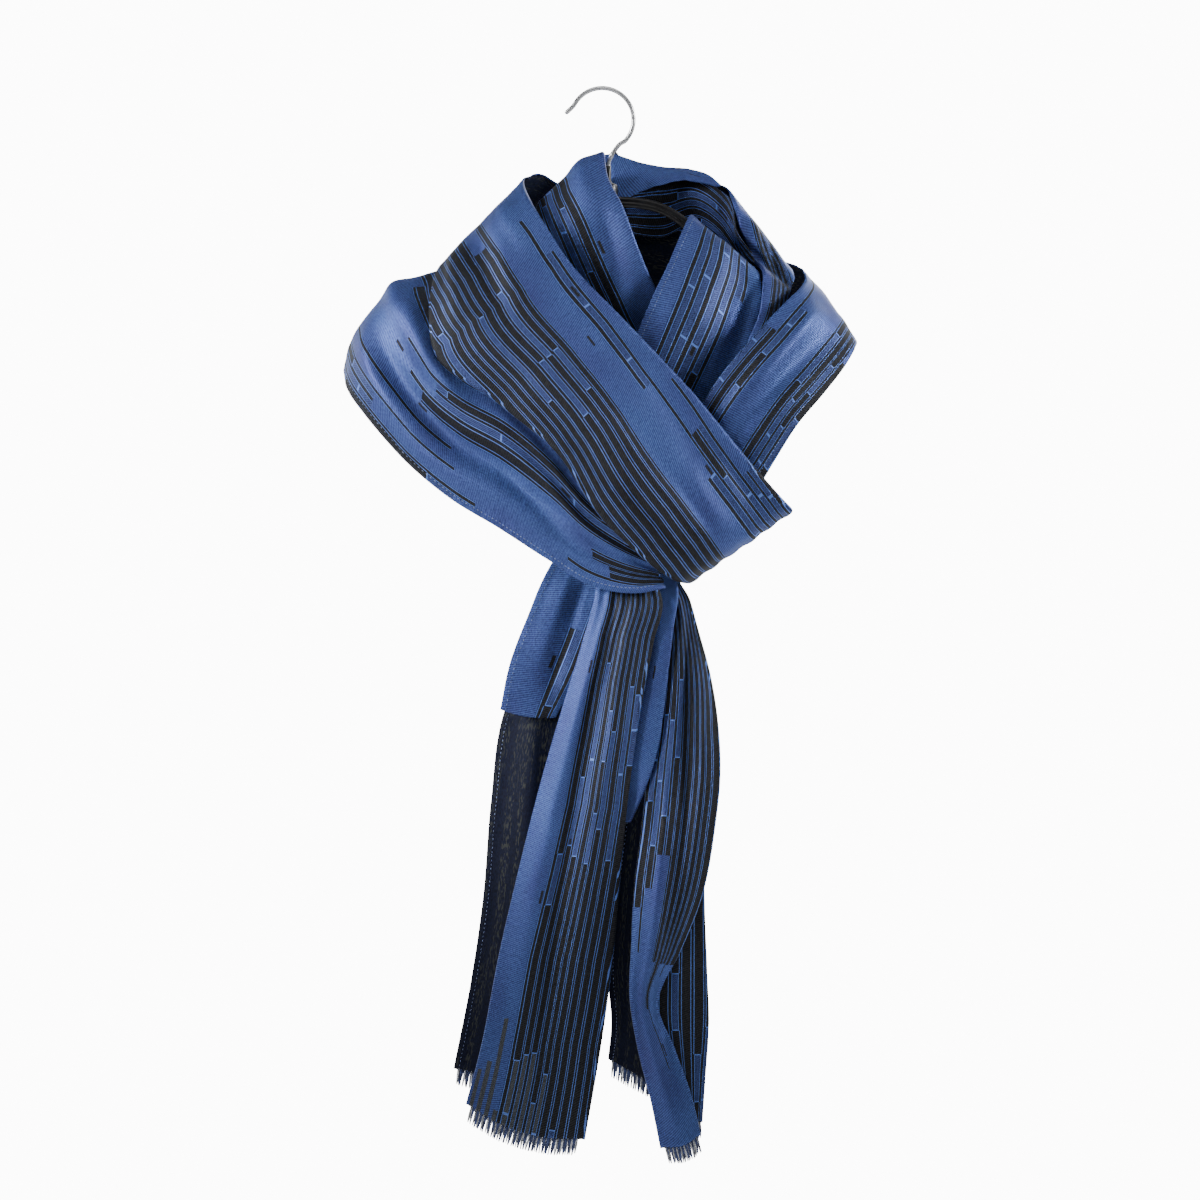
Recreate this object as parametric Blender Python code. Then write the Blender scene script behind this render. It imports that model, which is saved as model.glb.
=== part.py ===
"""A long silk scarf, folded in half, looped over a small hanger and pulled through its own fold.

The frame: +Z is up, +X is to the right as the scarf is looked at, and the looker stands at -Y.
The origin is the inside top of the hook, where a rail carries it.
Lengths in the tables are millimetres; Blender's own units are metres.

Each stretch of cloth is a sheet through the rows of a short table. A row is one section
across the cloth, from edge a to edge b, and its crown is how far the middle stands out of
the straight line between them. The folds of a stretch are soft ridges and troughs on it.
"""

from collections import namedtuple
import math

import bmesh
import bpy
import numpy as np

MM = 0.001

# Cloth
WALL = 1.2
SEAM = 0.3
ROLL_STEPS = 2
SLOPE_STEP = 0.5
FOLD_FADE = 0.3
LEAST_UPRIGHT = 0.7

# Fringe
STRIP_DROP = 2.0
STRIP_WALL = 0.8
STRAND_LENGTH = 8.0
STRAND_SHARE = 0.6
STRANDS_IN_BLOCK = 4
STRAND_SPREAD = 0.9
STRAND_SHORTEST = 0.8
HEM_STATION = 0.98

# Hook
WIRE_RADIUS = 1.4
HOOK_RADIUS = 19.5
HOOK_CENTRE_X = -0.6
HOOK_FIRST_ANGLE = 152.0
HOOK_LAST_ANGLE = -42.0
SHAFT_X = 3.1
SHAFT_END_Z = -46.5
HOOK_ARC_STEPS = 20
HOOK_TIP = ((-23.5, -14.5), (-20.5, -11.8))
HOOK_BEND = ((10.6, -33.2), (7.4, -37.0), (4.9, -41.0), (3.6, -44.0), (SHAFT_X, SHAFT_END_Z))

# Hanger
NECK_TOP_Z = -46.8
NECK_SIDES = 16
ARM_HALF_DEPTH = 4.5
ARM_HALF_HEIGHT = 3.1
ARM_GROOVE = 0.9
ARM_FLAT = 0.7
ARM_LIP = 0.45
ARM_END_TAPER = 0.55
ARM_STEPS = 13

Row = namedtuple("Row", "ax ay az bx by bz crown bow", defaults=(0.0, 0.0))
Fold = namedtuple("Fold", "share_first share_last height width first last")
Edge = namedtuple("Edge", "radius tuck")
Colour = namedtuple("Colour", "red green blue roughness metallic")

HEM = Edge(0.0, 0.0)
BLUE = Colour(0.075, 0.125, 0.33, 0.5, 0.0)
SHADE = Colour(0.03, 0.05, 0.15, 0.6, 0.0)
NAVY = Colour(0.01, 0.013, 0.04, 0.7, 0.0)
THREAD = Colour(0.35, 0.40, 0.52, 0.8, 0.0)
CHROME = Colour(0.75, 0.75, 0.78, 0.12, 1.0)
BLACK = Colour(0.012, 0.012, 0.014, 0.35, 0.0)

# Upper half of the outer round: out of the knot, up the front, over the left arm, across the
# back, over the right arm and down as a narrow fold. Edge a is the upper one.
#        ax   ay    az     bx   by    bz   crown
UPPER = (
    Row(112, -27, -258, 50, -25, -302),
    Row(117, -37, -262, 53, -36, -306),
    Row(113, -49, -258, 47, -50, -306, 1),
    Row(97, -55, -240, 36, -60, -300, 3),
    Row(76, -58, -215, 19, -64, -286, 4),
    Row(58, -58, -193, -3, -66, -264, 4),
    Row(35, -57, -168, -28, -66, -227, 4),
    Row(11, -54, -143, -62, -63, -198, 4),
    Row(-22, -46, -107, -103, -56, -165, 4),
    Row(-36, -38, -85, -107, -45, -140, 3),
    Row(-46, -24, -68, -105, -28, -120, 2),
    Row(-50, -6, -58, -101, -8, -109, 1),
    Row(-48, 12, -53, -96, 12, -107, 1),
    Row(-40, 28, -49, -86, 30, -119, 2),
    Row(-22, 40, -56, -48, 44, -133, 4),
    Row(8, 41, -43, 0, 50, -138, 5),
    Row(40, 39, -48, 48, 48, -134, 4),
    Row(66, 34.2, -54, 88, 39, -124, 3),
    Row(80, 26, -60, 115, 24, -109, 1),
    Row(83, 17, -69, 118, 12, -112),
    Row(86, 13, -85, 119, 5, -116),
    Row(93, 10, -101, 117, -1, -122),
    Row(103, -6, -109, 116, -7, -125),
    Row(103, -17, -124, 113, -14, -134, 1),
    Row(100, -26, -141, 109, -23, -148, 1),
    Row(93, -32, -157, 102, -30, -161, 1),
    Row(84, -36, -173, 95, -35, -179),
)

# Lower half of the outer round, from the knot to the left shoulder, the back, the right
# shoulder and down into the right tail.
LOWER = (
    Row(32, -51, -288, 38, -54, -309),
    Row(14, -55, -272, 20, -58, -312, 1),
    Row(-11, -55, -248, -8, -60, -307, 2),
    Row(-30, -54, -222, -33, -60, -292, 4),
    Row(-58, -52, -193, -64, -59, -272, 5),
    Row(-85, -49, -174, -95, -55, -253, 6),
    Row(-96, -43, -158, -120, -49, -232, 9),
    Row(-99, -35, -139, -144, -40, -205, 12),
    Row(-99, -23, -123, -157, -26, -187, 14),
    Row(-97, -7, -111, -160, -6, -174, 15),
    Row(-98, 13, -112, -158, 14, -176, 13),
    Row(-87, 37, -113, -146, 34, -192, 11),
    Row(-50, 51, -121, -100, 50, -216, 8),
    Row(0, 58, -126, -30, 58, -234, 6),
    Row(48, 56, -122, 40, 58, -236, 5),
    Row(88, 47, -111, 96, 48, -214, 5),
    Row(113, 34, -104, 138, 32, -184, 4),
    Row(124, 17, -110, 156, 12, -161, 3),
    Row(126, -1, -117, 158, -2, -156, 2),
    Row(122, -14, -123, 156, -13, -161, 1),
    Row(113, -26, -132, 150, -23, -171, 2),
    Row(97, -38, -149, 136, -34, -189, 4),
    Row(82, -44, -166, 119, -42, -209, 5),
    Row(68, -47, -184, 105, -45, -231, 5),
    Row(57, -47, -202, 95, -46, -247, 4),
    Row(44, -46, -228, 80, -45, -264, 3),
    Row(35, -42, -262, 62, -41, -284, 2),
    Row(28, -38.5, -288, 46, -37, -299),
    Row(38, -36, -316, 53.5, -35, -316),
    Row(39, -36, -336, 59, -35, -336, 1),
    Row(36, -37, -362, 66, -36, -362, 3),
    Row(31, -37, -395, 71, -37, -395, 4),
    Row(27, -38, -424, 72, -37, -424, 5),
    Row(24, -42, -452, 69, -39, -454, 5),
    Row(19, -46, -493, 61, -41, -497, 5),
    Row(17, -47, -530, 48, -44, -530, 4),
    Row(16, -46, -558, 34, -45, -561, 3),
    Row(21, -46, -590, 44, -45, -590, 3),
    Row(29, -46, -622, 54, -45, -618, 3),
    Row(35, -46, -651, 60, -44, -643, 3, 3),
)

# The inner round: from the fold at the knot behind both tails, up beside the hook, round the
# back under the outer round and down in front into the left tail. Edge b ends as a side hem.
INNER = (
    Row(111, -26, -258, 49, -24, -302),
    Row(104, -19, -254, 44, -16, -300),
    Row(88, -17, -232, 22, -14, -294),
    Row(66, -18, -196, -6, -15, -272),
    Row(50, -20, -163, -26, -18, -230),
    Row(40, -22, -138, -36, -22, -182),
    Row(32, -25, -123, -41, -26, -148, 2),
    Row(22, -27, -100, -46, -29, -112, 4),
    Row(12, -25, -73, -46, -27, -90, 4),
    Row(3, -16, -55, -44, -16, -77, 4),
    Row(0, -2, -38, -41, -2, -71, 4),
    Row(0, 13, -41, -41, 14, -76, 3),
    Row(3, 27, -60, -34, 28, -104, 3),
    Row(22, 36, -74, -10, 38, -134, 3),
    Row(44, 36, -82, 26, 40, -156, 2),
    Row(60, 27, -86, 64, 34, -154, 1),
    Row(60, 14, -82, 91, 17, -128, 1),
    Row(55, 3, -77, 96, 3, -113, 1),
    Row(53, -8, -79, 97, -8, -115, 1),
    Row(48, -17, -90, 98, -14, -130, 2),
    Row(41, -25, -107, 94, -18, -147, 3),
    Row(33, -31, -124, 88, -23, -164, 4),
    Row(21, -37, -152, 76, -29, -188, 4),
    Row(8, -41, -182, 62, -33, -214, 3),
    Row(-4, -43, -218, 48, -35, -246, 2),
    Row(-18, -44, -258, 32, -37, -272, 1),
    Row(-27, -44, -286, 23, -39, -292),
)

# The neck edge of the back, folded over to the inside. Edge b is its top.
COLLAR_FOLD = (
    Row(4.6, 20, -68, 5.5, 32, -35, 2),
    Row(24, 19, -61, 24, 32, -40.5, 2),
    Row(40, 21, -56, 38, 31, -43, 1),
    Row(52, 24, -54, 54, 30, -44.5, 1),
    Row(63, 25, -56, 66, 28, -49),
)

# The striped layer that shows between the folded collar and the right shoulder.
COLLAR_INNER = (
    Row(12, 31, -86, 14, 27, -62),
    Row(38, 35.2, -88, 38, 27, -58, 1),
    Row(58, 23.6, -81, 57, 25, -59, 1),
    Row(72, 17, -90, 72, 23, -66, 1),
    Row(83, 14, -104, 80, 19, -78, 1),
)

# Left tail: the front panel, the flap beside it, the fold on its right, and the back layer.
LEFT_FRONT = (
    Row(-4, -45, -290, 23, -42.5, -292),
    Row(-5, -51, -312, 36, -50, -314, 3),
    Row(-13, -51, -342, 31, -50, -342, 5),
    Row(-24, -50, -378, 24, -49, -378, 6),
    Row(-39, -48, -430, 16, -47, -432, 6),
    Row(-52, -47, -482, 11, -46, -482, 6),
    Row(-64, -46, -534, 6, -45, -536, 5),
    Row(-74, -45, -586, -1, -44, -588, 4),
    Row(-84, -44, -624, -11, -44, -646, 3, 7),
)
LEFT_FLAP = (
    Row(-27.2, -44, -286.8, -1, -41.6, -290.2),
    Row(-33, -43, -296, 0, -39, -304, 1),
    Row(-39, -42, -308, -3, -38, -319, 2),
    Row(-45, -42, -323, -7, -38, -334, 2),
    Row(-58, -41, -358, -19, -38, -368, 2),
    Row(-63, -40, -383, -29, -38, -388, 2, 2),
)
LEFT_MID = (
    Row(29, -42.8, -289, 44, -42.5, -296),
    Row(27, -42, -312, 46, -43, -312),
    Row(24, -41, -334, 43, -43, -334, 1),
    Row(20, -41, -359, 40, -43, -359, 1),
    Row(14, -41, -384, 37, -43, -384, 1),
    Row(11, -41, -409, 33, -43, -409, 1),
    Row(9, -39, -430, 26, -42, -431),
    Row(8, -38, -452, 17, -39, -452),
)
LEFT_BACK = (
    Row(-26, -42, -288, 20, -37, -292),
    Row(-32, -33, -314, 25, -31, -318),
    Row(-44, -29, -344, 24, -29, -346, 2),
    Row(-61, -28, -385, 17, -29, -382, 3),
    Row(-69, -27, -440, 10, -29, -440, 3),
    Row(-74, -26, -500, 4, -29, -500, 3),
    Row(-81, -25, -548, -1, -28, -548, 3),
    Row(-92, -25, -604, -8, -28, -612, 2, 4),
)

# Right tail: the second layer at its right, and the back layer.
RIGHT_SIDE = (
    Row(31, -38, -470, 62, -36.3, -480),
    Row(30, -36, -500, 62.5, -34, -505, 1),
    Row(28, -35, -545, 64, -34, -545, 2),
    Row(28, -36, -575, 65, -34, -575, 2),
    Row(36, -36, -606, 63, -34, -606, 2),
    Row(44, -36, -640, 61, -34, -636, 1),
)
RIGHT_BACK = (
    Row(29, -33.6, -290, 45, -32.7, -299),
    Row(33, -28.5, -316, 52, -28, -318),
    Row(31, -27.5, -350, 60, -27.5, -350, 2),
    Row(22, -27, -400, 65, -27, -400, 3),
    Row(15, -27, -450, 65, -27, -450, 3),
    Row(9, -27, -500, 58, -27, -500, 3),
    Row(6, -26, -545, 58, -27, -545, 3),
    Row(5, -26, -575, 57, -27, -580, 3),
    Row(3, -26, -598, 55, -27, -622, 2, 2),
)

# Top edge of the hanger's arm: how far it is from the shaft, and its height.
ARM_TOP = ((0, -66), (20, -67), (34, -70.5), (45, -76.5), (50, -80.3), (59, -86.1),
           (70, -98), (82, -109), (97, -120.5), (120, -136), (147, -152))

# Neck of the hanger, turned about the shaft: radius and height.
NECK = ((1.75, NECK_TOP_Z), (1.75, -56), (5.5, -58.5), (6.0, -60), (6.0, -65.6))

# The largest folds of each round, which run on through its stretches. The first and last are
# numbers of rows, and the shares are where the fold lies across the width there.
UPPER_FOLDS = (
    Fold(0.60, 0.72, 3.0, 12, 1, 9),
    Fold(0.30, 0.25, -1.5, 16, 2, 10),
    Fold(0.35, 0.50, 5.0, 14, 11.5, 18),
    Fold(0.65, 0.78, -4.0, 12, 12, 17.5),
)
LOWER_FOLDS = (
    Fold(0.30, 0.34, 4.5, 9, 1, 12),
    Fold(0.55, 0.60, -8.0, 10, 2, 8.6),
    Fold(0.80, 0.82, 3.5, 12, 3, 16),
    Fold(0.45, 0.50, 6.0, 14, 10, 17.5),
    Fold(0.66, 0.66, -6.0, 12, 10, 17),
    Fold(0.35, 0.30, 2.5, 9, 18.5, 24),
    Fold(0.70, 0.60, -2.5, 10, 19, 25),
    Fold(0.22, 0.30, 4.0, 6, 31, 38),
    Fold(0.55, 0.60, -3.0, 6, 28, 35),
    Fold(0.80, 0.75, 2.5, 6, 27.5, 36),
)
INNER_FOLDS = (
    Fold(0.28, 0.24, 2.5, 9, 4, 12),
    Fold(0.62, 0.55, -2.5, 8, 4, 11),
    Fold(0.30, 0.25, 2.5, 10, 17, 24),
    Fold(0.84, 0.90, -3.0, 8, 18, 24),
)
LEFT_FRONT_FOLDS = (
    Fold(0.14, 0.22, 2.0, 8, 0.5, 7.6),
    Fold(0.42, 0.50, -3.0, 9, 0.6, 8.5),
    Fold(0.74, 0.78, 3.0, 9, 0.8, 10),
)
LEFT_FLAP_FOLDS = (
    Fold(0.72, 0.66, -2.5, 8, 0.5, 5),
)
LEFT_BACK_FOLDS = (
    Fold(0.30, 0.26, 3.0, 11, 1, 8),
    Fold(0.60, 0.66, -3.0, 11, 1, 9),
)
RIGHT_BACK_FOLDS = (
    Fold(0.35, 0.40, 2.5, 10, 1, 9),
    Fold(0.70, 0.66, -2.5, 9, 1, 9),
)

# Each stretch of cloth: its table and folds, the first and last row it uses, its edges, and
# how many steps its grid has.
Stretch = namedtuple("Stretch", "rows folds first last edge_a edge_b along across colour")
STRETCHES = {
    "front_band": Stretch(UPPER, UPPER_FOLDS, 0, 11, Edge(2.5, 5), Edge(2.0, 3), 18, 8, BLUE),
    "back_upper": Stretch(UPPER, UPPER_FOLDS, 11, 18, HEM, HEM, 13, 7, BLUE),
    "right_shoulder": Stretch(UPPER, UPPER_FOLDS, 18, 21, Edge(1.4, 2), HEM, 6, 4, BLUE),
    "right_mid_fold": Stretch(UPPER, UPPER_FOLDS, 21, 26, Edge(1.4, 2), HEM, 8, 4, BLUE),
    "lower_band": Stretch(LOWER, LOWER_FOLDS, 0, 9, HEM, HEM, 16, 10, BLUE),
    "back_lower": Stretch(LOWER, LOWER_FOLDS, 9, 18, HEM, HEM, 16, 9, BLUE),
    "right_outer": Stretch(LOWER, LOWER_FOLDS, 18, 27, Edge(2.0, 3), Edge(1.8, 3), 14, 7, BLUE),
    "tail_right_front": Stretch(LOWER, LOWER_FOLDS, 27, 39, Edge(2.0, 3), Edge(1.8, 3), 18, 7, BLUE),
    "knot_return": Stretch(INNER, INNER_FOLDS, 0, 5, HEM, HEM, 9, 5, SHADE),
    "inner_left": Stretch(INNER, INNER_FOLDS, 5, 11, Edge(1.8, 4), HEM, 12, 7, BLUE),
    "back_inner": Stretch(INNER, INNER_FOLDS, 11, 17, HEM, HEM, 12, 5, NAVY),
    "right_inner": Stretch(INNER, INNER_FOLDS, 17, 26, HEM, HEM, 15, 7, BLUE),
    "collar_fold": Stretch(COLLAR_FOLD, (), 0, 4, HEM, Edge(3.0, 3), 8, 3, BLUE),
    "collar_inner": Stretch(COLLAR_INNER, (), 0, 4, HEM, HEM, 8, 3, SHADE),
    "tail_left_front": Stretch(
        LEFT_FRONT, LEFT_FRONT_FOLDS, 0, 8, Edge(1.4, 3), Edge(2.3, 4), 14, 8, BLUE),
    "tail_left_flap": Stretch(LEFT_FLAP, LEFT_FLAP_FOLDS, 0, 5, HEM, HEM, 8, 5, BLUE),
    "tail_left_mid": Stretch(LEFT_MID, (), 0, 7, HEM, Edge(1.5, 3), 9, 3, SHADE),
    "tail_left_back": Stretch(LEFT_BACK, LEFT_BACK_FOLDS, 0, 7, HEM, HEM, 12, 6, NAVY),
    "tail_right_side": Stretch(RIGHT_SIDE, (), 0, 5, HEM, HEM, 8, 3, BLUE),
    "tail_right_back": Stretch(RIGHT_BACK, RIGHT_BACK_FOLDS, 0, 8, HEM, HEM, 13, 5, NAVY),
}

# Each fringe: the stretch whose last row carries it, and how many strands.
Fringe = namedtuple("Fringe", "stretch strands seed")
FRINGES = {
    "fringe_left_front": Fringe("tail_left_front", 64, 3),
    "fringe_left_back": Fringe("tail_left_back", 60, 5),
    "fringe_right_front": Fringe("tail_right_front", 20, 7),
    "fringe_right_side": Fringe("tail_right_side", 12, 11),
    "fringe_right_back": Fringe("tail_right_back", 44, 13),
}


def smooth(knots, values, at):
    """Values at the places `at` on a cubic curve through the rows of `values`."""
    slopes = np.gradient(values, knots, axis=0)
    right = np.clip(np.searchsorted(knots, at), 1, len(knots) - 1)
    left = right - 1
    span = (knots[right] - knots[left])[:, None]
    f = (at[:, None] - knots[left][:, None]) / span
    near = values[left] * (1 + 2 * f) * (1 - f) ** 2 + slopes[left] * span * f * (1 - f) ** 2
    far = values[right] * f ** 2 * (3 - 2 * f) - slopes[right] * span * f ** 2 * (1 - f)
    return near + far


def ramp(value):
    """Smooth step from 0 to 1."""
    clipped = np.clip(value, 0.0, 1.0)
    return clipped * clipped * (3 - 2 * clipped)


def fold_heights(folds, place, share, width):
    """Height of all folds over a grid: places along the rows, shares across the columns."""
    total = np.zeros((len(place), len(share)))
    for fold in folds:
        run = (place - fold.first) / (fold.last - fold.first)
        centre = fold.share_first + (fold.share_last - fold.share_first) * np.clip(run, 0, 1)
        fade = ramp(run / FOLD_FADE) * ramp((1 - run) / FOLD_FADE)
        distance = (share[None, :] - centre[:, None]) * width[:, None] / fold.width
        total += fold.height * fade[:, None] * np.exp(-distance ** 2)
    return total


def section_columns(edge_a, edge_b, across):
    """Columns of a section: share of the width, offset from edge a, and height under the top.

    A rolled edge turns through half a circle and tucks back under the sheet.
    """
    columns = []
    angles = [math.pi * (1 - step / ROLL_STEPS) for step in range(ROLL_STEPS)]
    if edge_a.radius:
        columns.append((0.0, edge_a.radius + edge_a.tuck, -2 * edge_a.radius))
        for angle in angles:
            offset = edge_a.radius * (1 - math.sin(angle))
            columns.append((0.0, offset, -edge_a.radius * (1 - math.cos(angle))))
    for step in range(across + 1):
        share = step / across
        columns.append((share, edge_a.radius * (1 - share) - edge_b.radius * share, 0.0))
    if edge_b.radius:
        for angle in reversed(angles):
            offset = edge_b.radius * (1 - math.sin(angle))
            columns.append((1.0, -offset, -edge_b.radius * (1 - math.cos(angle))))
        columns.append((1.0, -edge_b.radius - edge_b.tuck, -2 * edge_b.radius))
    return np.array(columns)


def row_knots(stretch):
    """Length along the middle of the cloth at each row of the table."""
    table = np.array(stretch.rows, dtype=float)
    middle = (table[:, 0:3] + table[:, 3:6]) / 2
    steps = np.linalg.norm(np.diff(middle, axis=0), axis=1)
    return table, middle, np.concatenate(([0.0], np.cumsum(steps)))


def outer_points(stretch, columns, at):
    """Grid of points of a stretch at the lengths `at`, and which way is out and ahead there."""
    table, middle, knots = row_knots(stretch)
    rows = smooth(knots, table, at)
    ahead = smooth(knots, middle, at + SLOPE_STEP) - smooth(knots, middle, at - SLOPE_STEP)
    ahead /= np.linalg.norm(ahead, axis=1)[:, None]
    edge_a = rows[:, 0:3]
    over = rows[:, 3:6] - edge_a
    width = np.linalg.norm(over, axis=1)
    over /= width[:, None]
    out = np.cross(ahead, over)
    out /= np.linalg.norm(out, axis=1)[:, None]
    ahead = np.cross(over, out)

    share = columns[:, 0]
    bulge = 4 * share * (1 - share)
    offset = share[None, :] * width[:, None] + columns[None, :, 1]
    place = np.interp(at, knots, np.arange(len(knots)))
    height = columns[None, :, 2] + rows[:, 6:7] * bulge
    height = height + fold_heights(stretch.folds, place, share, width)
    bow = rows[:, 7:8] * bulge
    points = (edge_a[:, None, :]
              + over[:, None, :] * offset[:, :, None]
              + out[:, None, :] * height[:, :, None]
              + ahead[:, None, :] * bow[:, :, None])
    return points, out, ahead


def sheet_points(stretch, columns, station):
    """Outer and inner points of a stretch, and which way is out, between its two seams.

    Station runs from 0 at the first seam to 1 at the last. The wall lies in the plane of its
    section, so that two stretches meet cleanly at a seam.
    """
    knots = row_knots(stretch)[2]
    first = knots[stretch.first] + SEAM / 2
    last = knots[stretch.last] - SEAM / 2
    at = first + (last - first) * station
    outer, out, ahead = outer_points(stretch, columns, at)
    after = outer_points(stretch, columns, at + SLOPE_STEP)[0]
    before = outer_points(stretch, columns, at - SLOPE_STEP)[0]
    normal = np.cross(after - before, np.gradient(outer, axis=1))
    normal /= np.linalg.norm(normal, axis=2)[:, :, None]
    lean = np.sum(normal * ahead[:, None, :], axis=2)
    normal -= lean[:, :, None] * ahead[:, None, :]
    upright = np.maximum(np.linalg.norm(normal, axis=2), LEAST_UPRIGHT)
    inner = outer - WALL * normal / upright[:, :, None] ** 2
    return outer, inner, out


def material(name, colour):
    made = bpy.data.materials.new(name)
    made.use_nodes = True
    shader = made.node_tree.nodes["Principled BSDF"]
    shader.inputs["Base Color"].default_value = (colour.red, colour.green, colour.blue, 1)
    shader.inputs["Roughness"].default_value = colour.roughness
    shader.inputs["Metallic"].default_value = colour.metallic
    return made


def add_object(name, bm, colour):
    """Object from a bmesh in millimetres, shaded smooth."""
    bmesh.ops.scale(bm, vec=(MM, MM, MM), verts=bm.verts)
    mesh = bpy.data.meshes.new(name)
    bm.to_mesh(mesh)
    bm.free()
    mesh.shade_smooth()
    made = bpy.data.objects.new(name, mesh)
    mesh.materials.append(material(name, colour))
    bpy.context.scene.collection.objects.link(made)
    return made


def build_stretch(name, stretch):
    """One stretch of cloth: a sheet on the outside, its copy one wall deeper, and the rim."""
    columns = section_columns(stretch.edge_a, stretch.edge_b, stretch.across)
    station = np.linspace(0.0, 1.0, stretch.along + 1)
    outer_grid, inner_grid, _ = sheet_points(stretch, columns, station)
    bm = bmesh.new()
    outer = [[bm.verts.new(point) for point in row] for row in outer_grid]
    inner = [[bm.verts.new(point) for point in row] for row in inner_grid]
    for top, top_next, low, low_next in zip(outer, outer[1:], inner, inner[1:]):
        for j in range(len(columns) - 1):
            bm.faces.new((top[j], top_next[j], top_next[j + 1], top[j + 1]))
            bm.faces.new((low[j], low[j + 1], low_next[j + 1], low_next[j]))
        bm.faces.new((top[0], low[0], low_next[0], top_next[0]))
        bm.faces.new((top[-1], top_next[-1], low_next[-1], low[-1]))
    for j in range(len(columns) - 1):
        bm.faces.new((outer[0][j], outer[0][j + 1], inner[0][j + 1], inner[0][j]))
        bm.faces.new((outer[-1][j], inner[-1][j], inner[-1][j + 1], outer[-1][j + 1]))
    made = add_object(name, bm, stretch.colour)
    made.data.set_sharp_from_angle(angle=math.radians(60))
    return made


def build_fringe(name, fringe):
    """A narrow strip under a hem, with a row of pointed strands grown out of it."""
    stretch = STRETCHES[fringe.stretch]
    blocks = fringe.strands // STRANDS_IN_BLOCK
    margin = (1 - STRAND_SHARE) / 2
    places = []
    for strand in range(fringe.strands):
        if strand % STRANDS_IN_BLOCK == 0:
            places.append(strand)
        places.extend((strand + margin, strand + 1 - margin))
    places.append(fringe.strands)
    lowest = np.array(places) / fringe.strands
    columns = np.stack((lowest, np.zeros(len(lowest)), np.zeros(len(lowest))), axis=1)
    points, _, out = sheet_points(stretch, columns, np.array([HEM_STATION, 1.0]))
    down = points[1] - points[0]
    down /= np.linalg.norm(down, axis=1)[:, None]
    front = points[1] - out[1] * (WALL - STRIP_WALL) / 2
    back = front - out[1] * STRIP_WALL
    sideways = (points[1][-1] - points[1][0]) / np.linalg.norm(points[1][-1] - points[1][0])

    bm = bmesh.new()
    head = SEAM
    foot = SEAM + STRIP_DROP
    low_front = [bm.verts.new(p + d * foot) for p, d in zip(front, down)]
    low_back = [bm.verts.new(p + d * foot) for p, d in zip(back, down)]
    in_block = 2 * STRANDS_IN_BLOCK + 1
    ends = [block * in_block for block in range(blocks + 1)]
    top_front = [bm.verts.new(front[i] + down[i] * head) for i in ends]
    top_back = [bm.verts.new(back[i] + down[i] * head) for i in ends]

    draw = np.random.default_rng(fringe.seed)
    for block in range(blocks):
        start = ends[block]
        stop = ends[block + 1]
        bm.faces.new([top_front[block]] + low_front[start:stop + 1] + [top_front[block + 1]])
        bm.faces.new([top_back[block + 1]] + low_back[start:stop + 1][::-1] + [top_back[block]])
        bm.faces.new((top_front[block], top_front[block + 1],
                      top_back[block + 1], top_back[block]))
        for i in range(start, stop):
            if (i - start) % 2 == 0:
                bm.faces.new((low_front[i], low_back[i], low_back[i + 1], low_front[i + 1]))
                continue
            root = (low_front[i], low_back[i], low_back[i + 1], low_front[i + 1])
            middle = sum((np.array(vertex.co) for vertex in root)) / 4
            lean = draw.uniform(-STRAND_SPREAD, STRAND_SPREAD, 2)
            reach = STRAND_LENGTH * draw.uniform(STRAND_SHORTEST, 1.0)
            tip = bm.verts.new(middle + down[i] * reach + sideways * lean[0] + out[1] * lean[1])
            for one, two in zip(root, root[1:] + root[:1]):
                bm.faces.new((one, two, tip))
    bm.faces.new((top_front[0], top_back[0], low_back[0], low_front[0]))
    bm.faces.new((top_back[-1], top_front[-1], low_front[-1], low_back[-1]))
    bmesh.ops.recalc_face_normals(bm, faces=bm.faces)
    made = add_object(name, bm, THREAD)
    made.data.set_sharp_from_angle(angle=math.radians(40))
    return made


def hook_route():
    """Centre line of the hook: its turned-out tip, the round, and the bend into the shaft."""
    centre_z = WIRE_RADIUS - HOOK_RADIUS
    turns = np.radians(np.linspace(HOOK_FIRST_ANGLE, HOOK_LAST_ANGLE, HOOK_ARC_STEPS))
    arc = [(HOOK_CENTRE_X + HOOK_RADIUS * math.cos(turn), centre_z + HOOK_RADIUS * math.sin(turn))
           for turn in turns]
    return [(x, 0.0, z) for x, z in list(HOOK_TIP) + arc + list(HOOK_BEND)]


def build_hook():
    """The bent wire."""
    curve = bpy.data.curves.new("hanger_hook", "CURVE")
    curve.dimensions = "3D"
    spline = curve.splines.new("POLY")
    route = hook_route()
    spline.points.add(len(route) - 1)
    for point, place in zip(spline.points, route):
        point.co = (place[0] * MM, place[1] * MM, place[2] * MM, 1.0)
    spline.use_smooth = True
    curve.bevel_depth = WIRE_RADIUS * MM
    curve.bevel_resolution = 2
    curve.use_fill_caps = True
    curve.materials.append(material("hanger_hook", CHROME))
    made = bpy.data.objects.new("hanger_hook", curve)
    bpy.context.scene.collection.objects.link(made)
    return made


def build_neck():
    """The sleeve and boss that the wire is set in, turned about the shaft."""
    bm = bmesh.new()
    rings = []
    for radius, z in NECK:
        ring = []
        for side in range(NECK_SIDES):
            turn = 2 * math.pi * side / NECK_SIDES
            ring.append(bm.verts.new((SHAFT_X + radius * math.cos(turn),
                                      radius * math.sin(turn), z)))
        rings.append(ring)
    for upper, lower in zip(rings, rings[1:]):
        for side in range(NECK_SIDES):
            after = (side + 1) % NECK_SIDES
            bm.faces.new((upper[side], lower[side], lower[after], upper[after]))
    bm.faces.new(rings[0])
    bm.faces.new(rings[-1][::-1])
    bmesh.ops.recalc_face_normals(bm, faces=bm.faces)
    made = add_object("hanger_neck", bm, BLACK)
    made.data.set_sharp_from_angle(angle=math.radians(40))
    return made


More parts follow.
